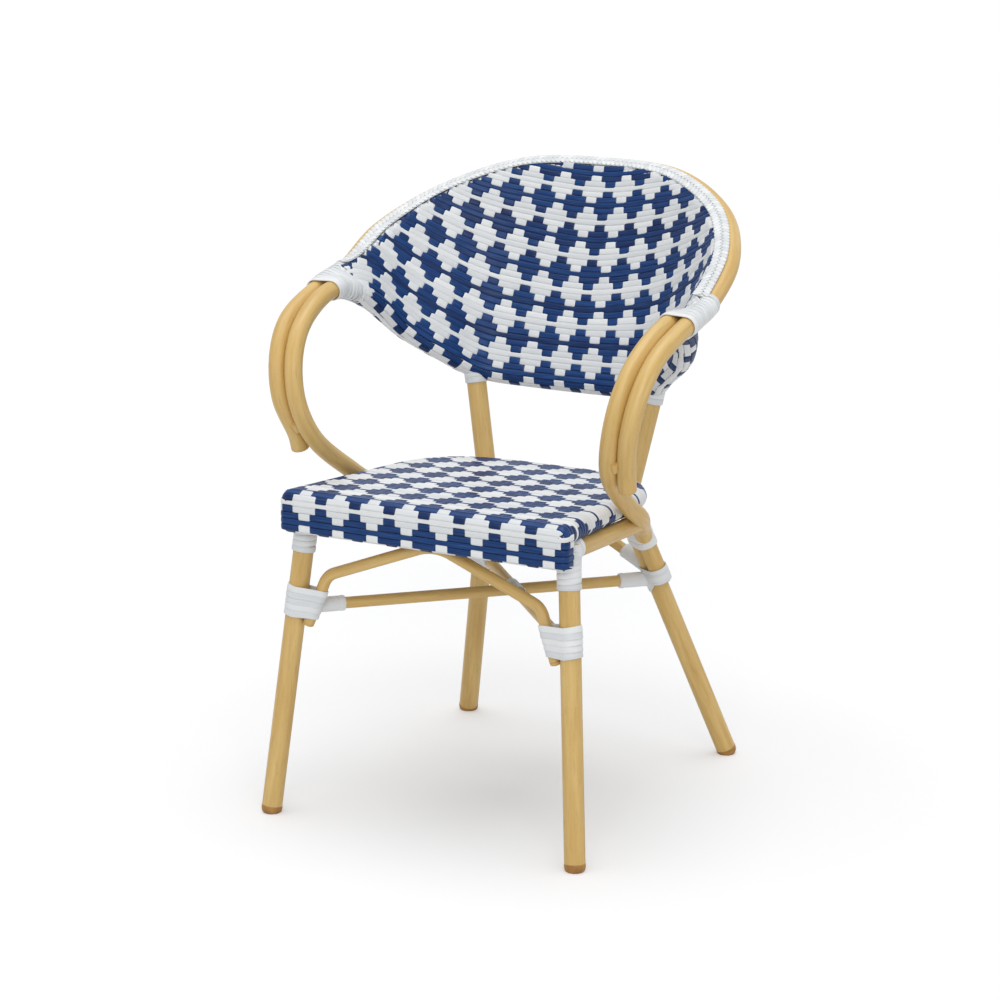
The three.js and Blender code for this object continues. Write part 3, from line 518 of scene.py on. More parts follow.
class Bundle:
    """Strands that become one mesh, with what the nodes and the finishes read at each point."""

    VECTORS = ("centre", "side", "lie")
    NUMBERS = ("wide", "deep", "tone", "along")

    def __init__(self):
        self.fields = {key: [] for key in self.VECTORS + self.NUMBERS}
        self.edges = []
        self.count = 0

    def add(self, line, side, lie, wide=1.0, deep=1.0, tone=None, closed=False):
        n = len(line)
        tone = dice.random() if tone is None else tone
        along = run_of(line) + dice.random() * 900
        for key, value in zip(self.VECTORS, (line * MM, side, lie)):
            self.fields[key].append(value)
        for key, value in zip(self.NUMBERS, (wide, deep, tone, along)):
            self.fields[key].append(np.broadcast_to(value, n))
        k = np.arange(n if closed else n - 1)
        self.edges.append(np.stack([k, (k + 1) % n], 1) + self.count)
        self.count += n

    def tube(self, line, **more):
        self.add(line, *turned(line), **more)

    def loop(self, ring, out, **more):
        """A closed strand that lies flat, facing outward."""
        way = norm(np.roll(ring, -1, 0) - np.roll(ring, 1, 0))
        self.add(ring, norm(np.cross(way, out)), out, closed=True, **more)


def placed(name, data):
    """A new object in the scene."""
    thing = bpy.data.objects.new(name, data)
    bpy.context.scene.collection.objects.link(thing)
    return thing


def plain_piece(name, mesh, slot, node):
    piece = placed(name, mesh)
    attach(piece, "root")
    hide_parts(node)


def make_strands(name, bundle, section, node):
    """Runs the strand nodes on a bundle and keeps the result as a plain mesh."""
    mesh = bpy.data.meshes.new(name)
    points, edges = np.vstack(bundle.fields["centre"]), np.vstack(bundle.edges)
    mesh.from_pydata(points.tolist(), edges.tolist(), [])
    for key, values in bundle.fields.items():
        kind, store = ("FLOAT_VECTOR", "vector") if key in Bundle.VECTORS else ("FLOAT", "value")
        layer = mesh.attributes.new(key, kind, "POINT")
        layer.data.foreach_set(store, np.concatenate(values).astype(np.float32).ravel())
    lines = placed(name + "_lines", mesh)
    modifier = lines.modifiers.new("strands", "NODES")
    modifier.node_group = STRAND_TREE
    values = {"Width": section.width * MM, "Thickness": section.thickness * MM,
              "Edge power": float(section.power), "Section sides": section.sides, "Finish": section.finish}
    for key, value in values.items():
        modifier[STRAND_INPUTS[key]] = value
    lines.update_tag()
    shaped = lines.evaluated_get(bpy.context.evaluated_depsgraph_get())
    result = bpy.data.meshes.new_from_object(shaped)
    bpy.data.objects.remove(lines)
    for key in ("centre", "side", "lie", "wide", "deep"):
        result.attributes.remove(result.attributes[key])
    work = bmesh.new()
    work.from_mesh(result)
    bmesh.ops.recalc_face_normals(work, faces=work.faces)
    work.to_mesh(result)
    work.free()
    result.name = name
    plain_piece(name, result, section.slot, node)


# The tubes
def make_tube(name, line, radius, node):
    bundle = Bundle()
    bundle.tube(line)
    make_strands(name, bundle, Section(2 * radius, 2 * radius, TUBE_SIDES[radius], 1, TAN, PAINT), node)


def above_foot(leg, side):
    return leg(0, side) + leg_way(leg, side) * FOOT_JOINT


def tubes():
    for name, side in SIDES.items():
        line = straight(above_foot(front_leg, side), front_leg(FRONT_TUBE_TOP, side), 12)
        make_tube(f"front_leg_tube_{name}", line, LEG_R, f"front_leg_{name}")
        corners = [above_foot(rear_leg, side), rear_leg(REAR_BEND, side), post(POST_TOP, side)]
        make_tube(f"rear_leg_tube_{name}", bent(corners, [LEG_BEND], 6), LEG_R, f"rear_leg_{name}")
        line = straight(*side_rail(side), 8)
        make_tube(f"seat_side_tube_{name}", line, ARM_R, f"seat_side_rail_{name}")
    make_tube("hoop_tube", HOOP, ARM_R, "back_hoop_and_outer_arms")
    make_tube("rail_tube", RAIL, ARM_R, "lower_back_rail_and_inner_arms")
    make_tube("seat_front_tube", straight(side_rail(-1)[0], side_rail(1)[0], 10), ARM_R, "seat_front_rail")
    here = post(seat_z(PAD_BACK, RAIL_DROP))
    y = here[Y] - LEG_R - ARM_R - GAP
    end = vec(here[X] + LEG_R, y, seat_z(y, RAIL_DROP))
    make_tube("seat_rear_tube", straight(end * (-1, 1, 1), end, 10), ARM_R, "seat_rear_rail")
    make_tube("cross_tube_long", straight(*cross_ends(1), 8), BOW_R, "cross_bar_long")
    middle = cross_middle()
    front, rear = cross_ends(-1)
    make_tube("cross_tube_front", straight(front, middle, 8), BOW_R, "cross_bar_front_half")
    make_tube("cross_tube_rear", straight(middle, rear, 8), BOW_R, "cross_bar_rear_half")
    make_tube("front_bow_tube", front_bow(), BOW_R, "front_bow")
    make_tube("rear_bow_tube", rear_bow(), BOW_R, "rear_bow")


def turned_piece(name, outline, at, axis, finish, slot, node, count):
    """A round piece from an outline of radius and height along an axis, closed at its poles."""
    axis = norm(axis)
    side = norm(np.cross(axis, (0, 1, 0) if abs(axis[Y]) < 0.9 else (1, 0, 0)))
    other = np.cross(axis, side)
    turns = [2 * math.pi * k / count for k in range(count)]
    work = bmesh.new()
    rows = []
    for radius, height in outline:
        ring = [at + axis * height + radius * (math.cos(a) * side + math.sin(a) * other) for a in turns]
        if radius == 0:
            ring = ring[:1]
        rows.append([work.verts.new((p[X] * MM, p[Y] * MM, max(p[Z], 0) * MM)) for p in ring])
    for a, b in zip(rows, rows[1:]):
        for k in range(count):
            n = (k + 1) % count
            corners = dict.fromkeys([a[k % len(a)], a[n % len(a)], b[n % len(b)], b[k % len(b)]])
            if len(corners) > 2:
                work.faces.new(list(corners))
    bmesh.ops.remove_doubles(work, verts=work.verts, dist=1e-7)
    bmesh.ops.recalc_face_normals(work, faces=work.faces)
    for face in work.faces:
        face.smooth = True
    mesh = bpy.data.meshes.new(name)
    work.to_mesh(mesh)
    work.free()
    mesh.materials.append(finish)
    plain_piece(name, mesh, slot, node)


def arc(radius, height, centre_r, centre_h, start, end, count):
    turns = np.radians(np.linspace(start, end, count))
    return [(centre_r + radius * math.cos(a), centre_h + height * math.sin(a)) for a in turns]


def foot_outline():
    """A rounded cap at the end of a leg, a little wider than the leg, with a small rim on top."""
    wide, rim, shoulder = 14.3, 0.7, 9.6
    cap = [(0, -3), (6, -2.6)] + arc(wide - 8, 9.5, 8, 7, -90, 0, 9) + [(wide, shoulder)]
    cap += arc(rim, rim, wide - rim, shoulder, 0, 90, 4)
    return cap + [(12.4, FOOT_JOINT), (0, FOOT_JOINT)]


def plug_outline(radius):
    """A dome on the end of a tube, with a thin groove under it and a stub inside the tube."""
    dome = [(0, -4), (radius - 2, -4), (radius - 2, 0.2), (radius - 0.5, 0.2)]
    dome += arc(0.6, 0.6, radius - 0.6, 0.9, -40, 60, 5)
    return dome + arc(radius, 3.6, 0, 1.4, 18, 80, 7) + [(0, 5.0)]


def feet_and_plugs():
    for name, side in SIDES.items():
        for kind, leg in (("front", front_leg), ("rear", rear_leg)):
            turned_piece(f"{kind}_foot_cap_{name}", foot_outline(), leg(0, side), leg_way(leg, side),
                         BROWN, PLASTIC, f"{kind}_foot_{name}", 36)
        for kind, line, radius in (("arm", HOOP, ARM_R), ("bow", front_bow(), BOW_R)):
            before, end = half_of(line, side)[-2:]
            node = f"{kind}_end_plug_{name}"
            turned_piece(node + "_dome", plug_outline(radius), end, end - before, TAN, PAINT, node, 28)


# The woven pattern
ROW_LIFT = 0.95
LINE_THIN, LINE_FILL, LINE_SHIFT = 0.26, 0.13, 0.52
SWAP_RUN, EASE_RUN, WOBBLE = 1.5, 3.0, 0.12
FINE_STEP, ROW_STEP, LEAST_STEP = 0.25, 7.0, 0.8
SWAP_PLACES = (-2.2, -1.2, 1.2, 2.2)


def to_nearest(t, period):
    """The signed distance to the nearest whole period."""
    return (t + period / 2) % period - period / 2


class Weave:
    """Rows of one blue and one white strand that change places, so that crosses appear.

    Six rows make a pattern: row 0 is a blue line, row 3 a white one, and the rows between are
    blue near the columns of blue crosses and white elsewhere.
    """

    def __init__(self):
        self.blue, self.white = Bundle(), Bundle()

    def row(self, index, line, lie, offset, period, room=1.0):
        """line is the middle of the row, offset its distance from the columns of blue crosses."""
        side = norm(np.cross(lie, np.gradient(line, axis=0)))
        kind = index % 6
        reach = {0: period, 3: -period, 1: period / 3, 5: period / 3}.get(kind, period / 6)
        u = np.abs(offset)
        swap = np.clip((reach - u) / SWAP_RUN, -1, 1)
        if kind in (5, 0, 1):
            beside = smoothstep((u - period / 3) / EASE_RUN + 0.5)
        else:
            beside = 1 - smoothstep((u - period / 6) / EASE_RUN + 0.5)
        # between two crosses the line is thin, and the rows beside it close in on it
        if kind in (0, 3):
            wide, shift = 1 - LINE_THIN * beside, np.zeros(len(u))
        else:
            wide = 1 + LINE_FILL * beside
            shift = (-1 if kind in (1, 4) else 1) * LINE_SHIFT * beside
        high = ROW_LIFT * (1 + 0.2 * np.abs(shift))
        sway = dice.normal(0, WOBBLE, 12)
        wobble = np.interp(np.arange(len(u)), np.linspace(0, len(u), len(sway)), sway)
        middle = line + side * shift[:, None] + side * wobble[:, None]
        up = lie * (high * swap)[:, None]
        self.blue.add(middle + up, side, lie, wide=wide * room)
        self.white.add(middle - up, side, lie, wide=wide * room)

    def make(self, node):
        make_strands(f"{node}_blue", self.blue, BLUE_ROW, node)
        make_strands(f"{node}_white", self.white, WHITE_ROW, node)


def samples(start, end, offset_of, period):
    """Places along a row, closer together where the strands change places."""
    every = [np.arange(start, end, ROW_STEP), [end]]
    fine = np.arange(start, end, FINE_STEP)
    u = np.abs(offset_of(fine))
    for reach in (period / 6, period / 3):
        hits = fine[1:][np.sign(u[1:] - reach) != np.sign(u[:-1] - reach)]
        every += [hits + shift for shift in SWAP_PLACES]
    every = np.unique(np.round(np.concatenate(every), 2))
    every = every[(every >= start) & (every <= end)]
    kept = [every[0]]
    for place in every[1:]:
        if place - kept[-1] > LEAST_STEP:
            kept.append(place)
    return np.array(kept)


# The back
ARM_WRAP = (-58.0, 24.0)
SITTER = vec(0, PAD_FRONT / 2, NOTCH)
LEAN = math.radians(40)
RIM_R = 8.5
LOW_REACH = 13.9
SHEET_END = 0.985


class Edge:
    """One edge of the back sheet, in shares from -1 to 1 between the arm wraps."""

    def __init__(self, line):
        self.line = line
        self.mid = (len(line) - 1) / 2
        half = line[int(self.mid):]
        y = sum(ARM_WRAP) / 2
        i = next(k for k, p in enumerate(half) if p[Y] < y)
        self.reach = i - 1 + (half[i - 1][Y] - y) / (half[i - 1][Y] - half[i][Y])

    def at(self, across):
        return pick(self.line, self.mid + np.asarray(across) * self.reach, np.arange(len(self.line)))

    def tangent(self, across):
        return norm(self.at(across + 0.03) - self.at(across - 0.03))


HOOP_EDGE, RAIL_EDGE = Edge(HOOP), Edge(RAIL)


def edge_frame(edge, other, across):
    """Points of an edge, the way from them to the other edge, and the way to the sitter."""
    here = edge.at(across)
    tangent = edge.tangent(across)
    sheetward = other.at(across) - here
    sheetward = norm(sheetward - tangent * dots(sheetward, tangent))
    return here, sheetward, facing(np.cross(tangent, sheetward), SITTER - here)


def beside_hoop(across, width, away):
    """Points over the hoop's front: width along the leaning braid, away from the hoop's middle."""
    here, sheetward, sitterward = edge_frame(HOOP_EDGE, RAIL_EDGE, across)
    lean, rise = math.cos(LEAN), math.sin(LEAN)
    return here + sheetward * (rise * width - lean * away) + sitterward * (lean * width + rise * away)


def rim_centre(across):
    """The middle of the roll that the rows end on, which lies against the hoop, under the braid."""
    reach = ARM_R + GAP
    away = reach - RIM_R - GAP
    return beside_hoop(across, math.sqrt((reach + RIM_R) ** 2 - away ** 2), away)


def tucked(here, beside, across, power=26):
    """A line beside a tube that runs into the tube at the arm wraps."""
    return here + (beside - here) * (1 - np.abs(across) ** power)[..., None]


ACROSS = np.linspace(-1, 1, 1201)
LOW_HERE, LOW_UP, LOW_OUT = edge_frame(RAIL_EDGE, HOOP_EDGE, ACROSS)
TOP_OUT = edge_frame(HOOP_EDGE, RAIL_EDGE, ACROSS)[2]
BACK_LOW = tucked(LOW_HERE, LOW_HERE + LOW_OUT * LOW_REACH, ACROSS)
BACK_TOP = tucked(HOOP_EDGE.at(ACROSS), rim_centre(ACROSS) + TOP_OUT * (RIM_R - 2), ACROSS)
BACK_LENGTH = np.linalg.norm(BACK_TOP - BACK_LOW, axis=1)

# Rows of the back, counted from the front of the lower rail; those after TIGHT_FROM lie closer
FIRST_ROW, END_ROW, LEAST_POINTS = -8, 40, 20
BACK_ROW, BACK_PERIOD = 8.28, 48.0
TIGHT_FROM, TIGHTER = 30, 0.78
WRAP_REACH, WRAP_PITCH_R, WRAP_END_SHARE = 14.0, 14.2, 0.35
OVER_SINK, OVER_MOST = 0.08, 9
BOW_RUN, LOW_BLEND = 180, 14

# For every sixth row: where a column of blue crosses lies, and how much further from the lower rail
# than its middle the row's ends are, left and right as seen from the front
COLUMN_AT = [13.5, 12.0, 12.4, 12.7, 15.3, 20.2, 25.3]
BOW_LEFT = [0, 2, 9, 12, 14, 10, 10]
BOW_RIGHT = [0, 4, 20, 23, 23, 20, 20]


def every_sixth(row, values):
    return np.interp(row / 6, range(len(values)), values)


def bow_of(row, s):
    """How much further from the lower rail than its middle a row lies at places along it."""
    ends = np.where(s < 0, every_sixth(row, BOW_LEFT), every_sixth(row, BOW_RIGHT))
    return ends * smoothstep(np.abs(s) / BOW_RUN)


def from_middle(line):
    run = run_of(line)
    return run - run[len(line) // 2]


def wrapped_row(row):
    """A row that goes on round the lower rail, under the back sheet's first row."""
    turn = -row * BACK_ROW / WRAP_PITCH_R
    lie = LOW_OUT * math.cos(turn) - LOW_UP * math.sin(turn)
    tuck = (1 - np.abs(ACROSS) ** 40)[:, None]
    line = LOW_HERE + lie * WRAP_REACH * (WRAP_END_SHARE + (1 - WRAP_END_SHARE) * tuck)
    return line, lie, from_middle(line), np.abs(ACROSS) < SHEET_END


def back_row(row):
    """A row's line over the back, its outward direction, its run, and which points are on the back."""
    s = from_middle(BACK_LOW)
    for _ in range(3):
        d = row * BACK_ROW - TIGHTER * max(row - TIGHT_FROM, 0) + bow_of(row, s)
        line = BACK_LOW + (BACK_TOP - BACK_LOW) * (d / BACK_LENGTH)[:, None]
        s = from_middle(line)
    lie = facing(norm(np.cross(tangents(line), norm(BACK_TOP - BACK_LOW))), SITTER - line)
    blend = smoothstep(d / LOW_BLEND)[:, None]
    lie = norm(lie * blend + LOW_OUT * (1 - blend))
    over = np.maximum(d - BACK_LENGTH, 0)
    line = line - lie * (OVER_SINK * over ** 2)[:, None]
    return line, lie, s, (over < OVER_MOST) & (np.abs(ACROSS) < SHEET_END)


def row_room(row, s):
    """The distance to the rows above and below, as a share of the usual one."""
    room = 1 - TIGHTER / BACK_ROW if row > TIGHT_FROM else 1
    return room + (bow_of(row + 1, s) - bow_of(row - 1, s)) / 2 / BACK_ROW


def back_weave():
    weave = Weave()
    for row in range(FIRST_ROW, END_ROW):
        line, lie, s, keep = wrapped_row(row) if row < 0 else back_row(row)
        if keep.sum() < LEAST_POINTS:
            continue
        first, last = np.flatnonzero(keep)[[0, -1]]
        start = every_sixth(max(row, 0), COLUMN_AT)

        def offset_of(t):
            return to_nearest(t - start, BACK_PERIOD)

        at = samples(s[first], s[last], offset_of, BACK_PERIOD)
        weave.row(row, pick(line, at, s), norm(pick(lie, at, s)), offset_of(at), BACK_PERIOD,
                  row_room(row, at))
    weave.make("back_weave")


END_SINK, END_NARROW, END_SHARE = 1.5, 0.2, 0.45


def wound(line, radius, pitch, bundle, steps=14):
    """A strand wound round a line in one long helix, its two ends a little sunk and narrowed."""
    run = run_of(line)
    length = run[-1]
    at = np.linspace(0, length, int(length / pitch * steps))
    side, lie = turned(line)
    centre, a, b = pick(line, at, run), norm(pick(side, at, run)), norm(pick(lie, at, run))
    angle = 2 * math.pi * at / pitch
    out = a * np.cos(angle)[:, None] + b * np.sin(angle)[:, None]
    taper = smoothstep(np.minimum(at, length - at) / (END_SHARE * pitch))
    path = centre + out * (radius - END_SINK * (1 - taper))[:, None]
    bundle.add(path, norm(np.cross(tangents(path), out)), out, wide=1 - END_NARROW * (1 - taper))


def rim_winding():
    places = np.linspace(-SHEET_END, SHEET_END, 600)
    bundle = Bundle()
    line = tucked(HOOP_EDGE.at(places), rim_centre(places), places, 24)
    wound(even(line, 3), RIM_R - 2.4, 8.2, bundle)
    make_strands("rim_winding", bundle, white_section(8.4, 1.8, 6, 0.8), "back_weave")


BRAID_WIDE, BRAID_AWAY, BRAID_SHORT = 22.0, 13.6, 16.0
STITCH_PITCH, STITCH_HALF, STITCH_RISE = 7.2, 6.4, 0.7
ROW_APART, ROW_LATE = 5.0, 3.2
STITCH_SLANT = (0.62, 0.78)


def hoop_braid():
    """A flat band in front of the hoop, with two rows of slanting stitches that meet like a plait."""
    end = ACROSS[HOOP_EDGE.at(ACROSS)[:, Y] > ARM_WRAP[1] - BRAID_SHORT].max()
    across = np.linspace(-end, end, 1001)
    middle = beside_hoop(across, BRAID_WIDE / 2, BRAID_AWAY)
    run = run_of(middle)
    over = norm(beside_hoop(across, BRAID_WIDE, BRAID_AWAY) - middle)
    further = beside_hoop(across, BRAID_WIDE / 2, BRAID_AWAY + 5)
    out = facing(norm(np.cross(tangents(middle), over)), further - middle)
    base = Bundle()
    at = np.arange(0, run[-1], 5)
    base.add(pick(middle, at, run), norm(pick(over, at, run)), norm(pick(out, at, run)), tone=0.6)
    make_strands("hoop_braid_base", base, white_section(21.0, 1.6, 10, 0.5), "hoop_braid")
    stitches = Bundle()
    length = np.linspace(-1, 1, 6)
    size = np.sqrt(1 - 0.8 * np.abs(length) ** 3)
    for place in np.arange(3, run[-1] - 3, STITCH_PITCH):
        p, o, n = (pick(v, np.array([place]), run)[0] for v in (middle, over, out))
        t = norm(np.cross(n, o))
        for row in (-1, 1):
            centre = p + o * row * ROW_APART + n * 1.0 + t * (ROW_LATE if row > 0 else 0)
            slant = norm(t * STITCH_SLANT[0] + o * row * STITCH_SLANT[1])
            bulge = np.outer(STITCH_RISE * (1 - length ** 2), n)
            line = centre + np.outer(length, slant) * STITCH_HALF + bulge
            side, lie = np.tile(norm(np.cross(n, slant)), (6, 1)), np.tile(n, (6, 1))
            stitches.add(line, side, lie, wide=size, deep=size)
    make_strands("hoop_braid_stitches", stitches, white_section(7.4, 1.9, 8, 0.7), "hoop_braid")


# The seat
PAD_FRONT_HALF, PAD_BACK_HALF, PAD_CORNER, FRONT_CORNER = 216.5, 182.0, 135.0, 15.0
TOP_ROUND, EDGE_DEPTH, APRON_LOW = 15.0, 28.0, 401.0
LOW_ROUND = EDGE_DEPTH - TOP_ROUND
SEAT_ROW, ROUND_ROW = 8.17, 8.5
TOP_LINE_Y, TOP_END_Y = -251.5, PAD_BACK - 9
SIDE_END = 75.0
ROW_SINK = 1.9
APRON_HEIGHTS = (441, 432.3, 423.7, 415, 406.4)
APRON_TURN_R, APRON_BACK, APRON_UNDER_BACK = 9.0, 22, 15
BORDER_TURNS = (50, 81, 112, 148, 180)
BORDER_IN, BORDER_SINK, BORDER_EASE = 5.4, 2.4, 4.5
BORDER_START, BORDER_TUCK, BORDER_TUCK_RUN = SIDE_END - 9, 3.0, 14
PERIOD_FRONT, PERIOD_LOSS = 52.5, 2.5
SEAT_COLUMN, COLUMN_LATE, LATE_FROM, LATE_EARLIER, LATE_RUN = 7, 14, 206, 28, 36
SIDE_ROLL = 66

# The fine part of a row at the edge, the part that shows underneath, and where that part starts
EDGE_FINE, UNDER_WIDE, UNDER_START = 22, 34, PAD_FRONT + 9

# Rows under the apron: index, height, distance behind its front, and how far they face the front
UNDER_ROWS = ((-8, APRON_LOW + 0.3, 4.0, -1), (-9, APRON_LOW - 1.0, 12.0, -0.2))


def seat_outline():
    """The sitter's left half of the seat's edge from above, front to back, and the whole closed line."""
    def half_at(y):
        return PAD_FRONT_HALF + (PAD_BACK_HALF - PAD_FRONT_HALF) * (y - PAD_FRONT) / (PAD_BACK - PAD_FRONT)

    t = np.linspace(0, 1, 60)[:, None]

    def corner(a, b, c):
        return (1 - t) ** 2 * a + 2 * t * (1 - t) * b + t * t * c

    f = FRONT_CORNER
    front = corner(vec(PAD_FRONT_HALF - f, PAD_FRONT), vec(PAD_FRONT_HALF, PAD_FRONT),
                   vec(half_at(PAD_FRONT + f), PAD_FRONT + f))
    low = PAD_BACK - PAD_CORNER
    back = corner(vec(half_at(low), low), vec(PAD_BACK_HALF, PAD_BACK),
                  vec(PAD_BACK_HALF - PAD_CORNER, PAD_BACK))
    half = np.vstack([[(0, PAD_FRONT)], front, back, [(0, PAD_BACK)]])
    return half, np.vstack([half, half[::-1][1:-1] * (-1, 1)])


HALF_OUTLINE, OUTLINE = seat_outline()


def inset(x, y):
    """Distance from points to the seat's edge, and the level direction towards that edge."""
    p = np.stack([x, y], -1)[:, None]
    d = np.roll(OUTLINE, -1, 0) - OUTLINE
    t = np.clip(np.sum((p - OUTLINE) * d, -1) / np.sum(d * d, -1), 0, 1)
    gap = OUTLINE + d * t[..., None] - p
    size = np.linalg.norm(gap, axis=-1)
    k = np.argmin(size, 1)
    rows = np.arange(len(k))
    gap, size = gap[rows, k], size[rows, k]
    normal = norm(np.stack([d[k, Y], -d[k, X]], -1))
    return size, np.where(size[:, None] > 0.5, gap / np.maximum(size, 1e-6)[:, None], normal)


def seat_section(y):
    """One row over the seat: up one side roll, across and down the other, with outward directions."""
    order = np.argsort(HALF_OUTLINE[:, Y])
    edge = float(np.interp(y, HALF_OUTLINE[order, Y], HALF_OUTLINE[order, X]))
    bend = max(edge - EDGE_FINE, edge * 0.5)
    x = np.concatenate([np.linspace(0, bend, 60), np.linspace(bend, edge, 90)[1:]])
    depth, way = inset(x, np.full(len(x), y))
    up = vec(0, SLOPE, 1)
    out = np.column_stack([way, np.zeros(len(x))])

    def rolled(turn, heights, up):
        line = np.column_stack([x, np.full(len(x), y), heights])
        return line, out * np.sin(turn)[:, None] + up * np.cos(turn)[:, None]

    a = np.arcsin(np.clip((TOP_ROUND - depth) / TOP_ROUND, 0, 1))
    top, lie_top = rolled(a, seat_z(y) - TOP_ROUND * (1 - np.cos(a)), up)
    b = np.arcsin(np.clip((LOW_ROUND - np.minimum(depth, LOW_ROUND)) / LOW_ROUND, 0, 1))
    low, lie_low = rolled(b, seat_z(y) - TOP_ROUND - LOW_ROUND * np.cos(b), -up)
    keep = (x > edge - min(UNDER_WIDE, edge * 0.4)) & (UNDER_START < y < SIDE_END)
    if y >= SIDE_END:
        # these rows end under the border rows of the back edge
        top[:, Z] -= BORDER_SINK * (1 - smoothstep((depth - BORDER_IN) / BORDER_EASE))
        top, lie_top = top[depth > BORDER_IN], lie_top[depth > BORDER_IN]
    line = np.vstack([top, low[keep][::-1][1:]])
    lie = norm(np.vstack([lie_top, lie_low[keep][::-1][1:]]))
    return mirrored(line), mirrored(lie)


def apron_row(z, deep=0.0):
    """One row round the front of the seat, turned back a little way at each corner."""
    r = APRON_TURN_R
    x, y = PAD_FRONT_HALF - 0.5 * deep, PAD_FRONT + deep
    corner = arc(r, r, x - r, y + r, -90, 0, 8)[1:]
    end = (x, PAD_FRONT + (APRON_UNDER_BACK if deep else APRON_BACK))
    half = even(np.array([(0, y), (x - r, y)] + corner + [end]), 1.5)
    return mirrored(np.column_stack([half, np.full(len(half), z)]))


def back_border(turn):
    """A row that follows the seat's back edge, turn radians over it, its ends under the side rows."""
    half = HALF_OUTLINE[HALF_OUTLINE[:, Y] > BORDER_START]
    edge = even(np.vstack([half * (-1, 1), half[::-1][1:]]), 1.5)
    along = tangents(edge)
    way = np.column_stack([-along[:, Y], along[:, X], np.zeros(len(edge))])
    way = way * np.sign(way[:, Y:Z] + 1e-9)
    radius = TOP_ROUND if turn < math.pi / 2 else LOW_ROUND
    out = norm(way * math.sin(turn) + vec(0, 0, math.cos(turn)))
    level = np.column_stack([edge, seat_z(edge[:, Y]) - TOP_ROUND])
    run = run_of(edge)
    tuck = BORDER_TUCK * (1 - smoothstep(np.minimum(run, run[-1] - run) / BORDER_TUCK_RUN))
    return level - way * radius + out * (radius - tuck)[:, None], out


def seat_rows():
    """Index, line and outward directions of every row; row 0 is the first blue line of the top."""
    for index, z in enumerate(APRON_HEIGHTS):
        line = apron_row(z)
        yield -3 - index, line, norm(np.cross(tangents(line), (0, 0, 1.0)))
    for index, z, deep, ahead in UNDER_ROWS:
        line = apron_row(z, deep)
        yield index, line, np.tile(norm(vec(0, ahead, -1)), (len(line), 1))
    for index in (-2, -1):
        turn = -index * ROUND_ROW / TOP_ROUND
        yield index, *seat_section(PAD_FRONT + TOP_ROUND - TOP_ROUND * math.sin(turn))
    flat = PAD_BACK - TOP_ROUND
    index, y = 0, TOP_LINE_Y
    while y <= TOP_END_Y:
        yield index, *seat_section(y)
        index += 1
        y = TOP_LINE_Y + index * SEAT_ROW
        if y > flat:
            y = flat + TOP_ROUND * math.sin((y - flat) / TOP_ROUND)
    for extra, turn in enumerate(BORDER_TURNS):
        yield index + extra, *back_border(math.radians(turn))


def seat_weave():
    weave = Weave()
    for index, line, lie in seat_rows():
        y = float(line[len(line) // 2, Y])
        period = PERIOD_FRONT - PERIOD_LOSS * np.clip((y - PAD_FRONT) / (PAD_BACK - PAD_FRONT), 0, 1)
        s = run_of(line)
        s = s - s[-1] / 2
        # on the top the columns fall behind a little where the rows turn down at the sitter's left
        late = COLUMN_LATE if index > 0 else 0
        late_from = LATE_FROM - LATE_EARLIER * smoothstep((index - 1) / 8)

        def offset_of(t):
            return to_nearest(t - late * smoothstep((t - late_from) / LATE_RUN) - SEAT_COLUMN, period)

        at = samples(s[0], s[-1], offset_of, period)
        rolls = np.arange(-s[-1], s[-1], 3.0)
        at = np.unique(np.concatenate([at, rolls[np.abs(rolls) > s[-1] - SIDE_ROLL]]))
        at = at[np.concatenate([[True], np.diff(at) > LEAST_STEP])]
        out = norm(pick(lie, at, s))
        weave.row(index, pick(line, at, s) - out * ROW_SINK, out, offset_of(at), period)
    weave.make("seat_weave")


# Wraps and sleeves
OFF_AXIS = (0.31, 0.22, 0.93)
COVER = 1.4

# Heights where each wrap starts and ends
FRONT_WRAP, FRONT_WRAP_BOW = (277, 318), (277, 316)
REAR_WRAP, REAR_WRAP_ARM = (262, 299), (282, 299)
ARM_BAND = (BAND_LOW - 3, BAND_HIGH + 3)
POST_WRAP = (534, 559)
COLLAR = (393, 415)
HELIX, HELIX_CLOSE, HELIX_LAYER = (401, 370), (365.5, 374), (366, 424)


def hull_loop(middles, radii, normal, count=40):
    """Points and outward directions of a loop drawn tight round one or two tubes, across them."""
    first, last = middles[0], middles[-1]
    normal = norm(normal)
    u = norm(np.cross(normal, OFF_AXIS if len(middles) == 1 else last - first))
    w = np.cross(normal, u)
    turns = np.linspace(0, 2 * math.pi, 400, endpoint=False)[:, None]
    out = np.cos(turns) * u + np.sin(turns) * w
    nearer = (out @ first + radii[0] >= out @ last + radii[-1])[:, None]
    ring = np.where(nearer, first + out * radii[0], last + out * radii[-1])
    ring, out = np.vstack([ring, ring[:1]]), np.vstack([out, out[:1]])
    run = run_of(ring)
    at = np.linspace(0, run[-1], count, endpoint=False)
    return pick(ring, at, run), norm(pick(out, at, run))


def loops(bundle, tubes, count, points=40):
    """Loops of strand up a wrap; each of its one or two tubes is a lower end, an upper end and a radius."""
    for k in range(count):
        middles = [low + (high - low) * ((k + 0.5) / count) for low, high, _ in tubes]
        normal = norm(sum(high - low for low, high, _ in tubes)) + dice.normal(0, 0.012, 3)
        extra = dice.normal(0, 0.12)
        ring, out = hull_loop(middles, [radius + extra for _, _, radius in tubes], normal, points)
        bundle.loop(ring, out, wide=1 + dice.normal(0, 0.02))


def stretch(leg, heights, side, radius):
    return leg(heights[0], side), leg(heights[1], side), radius


def make_loops(name, tubes, node, count, width):
    bundle = Bundle()
    loops(bundle, tubes, count)
    make_strands(name, bundle, white_section(width, 1.7, 10, 0.42), node)


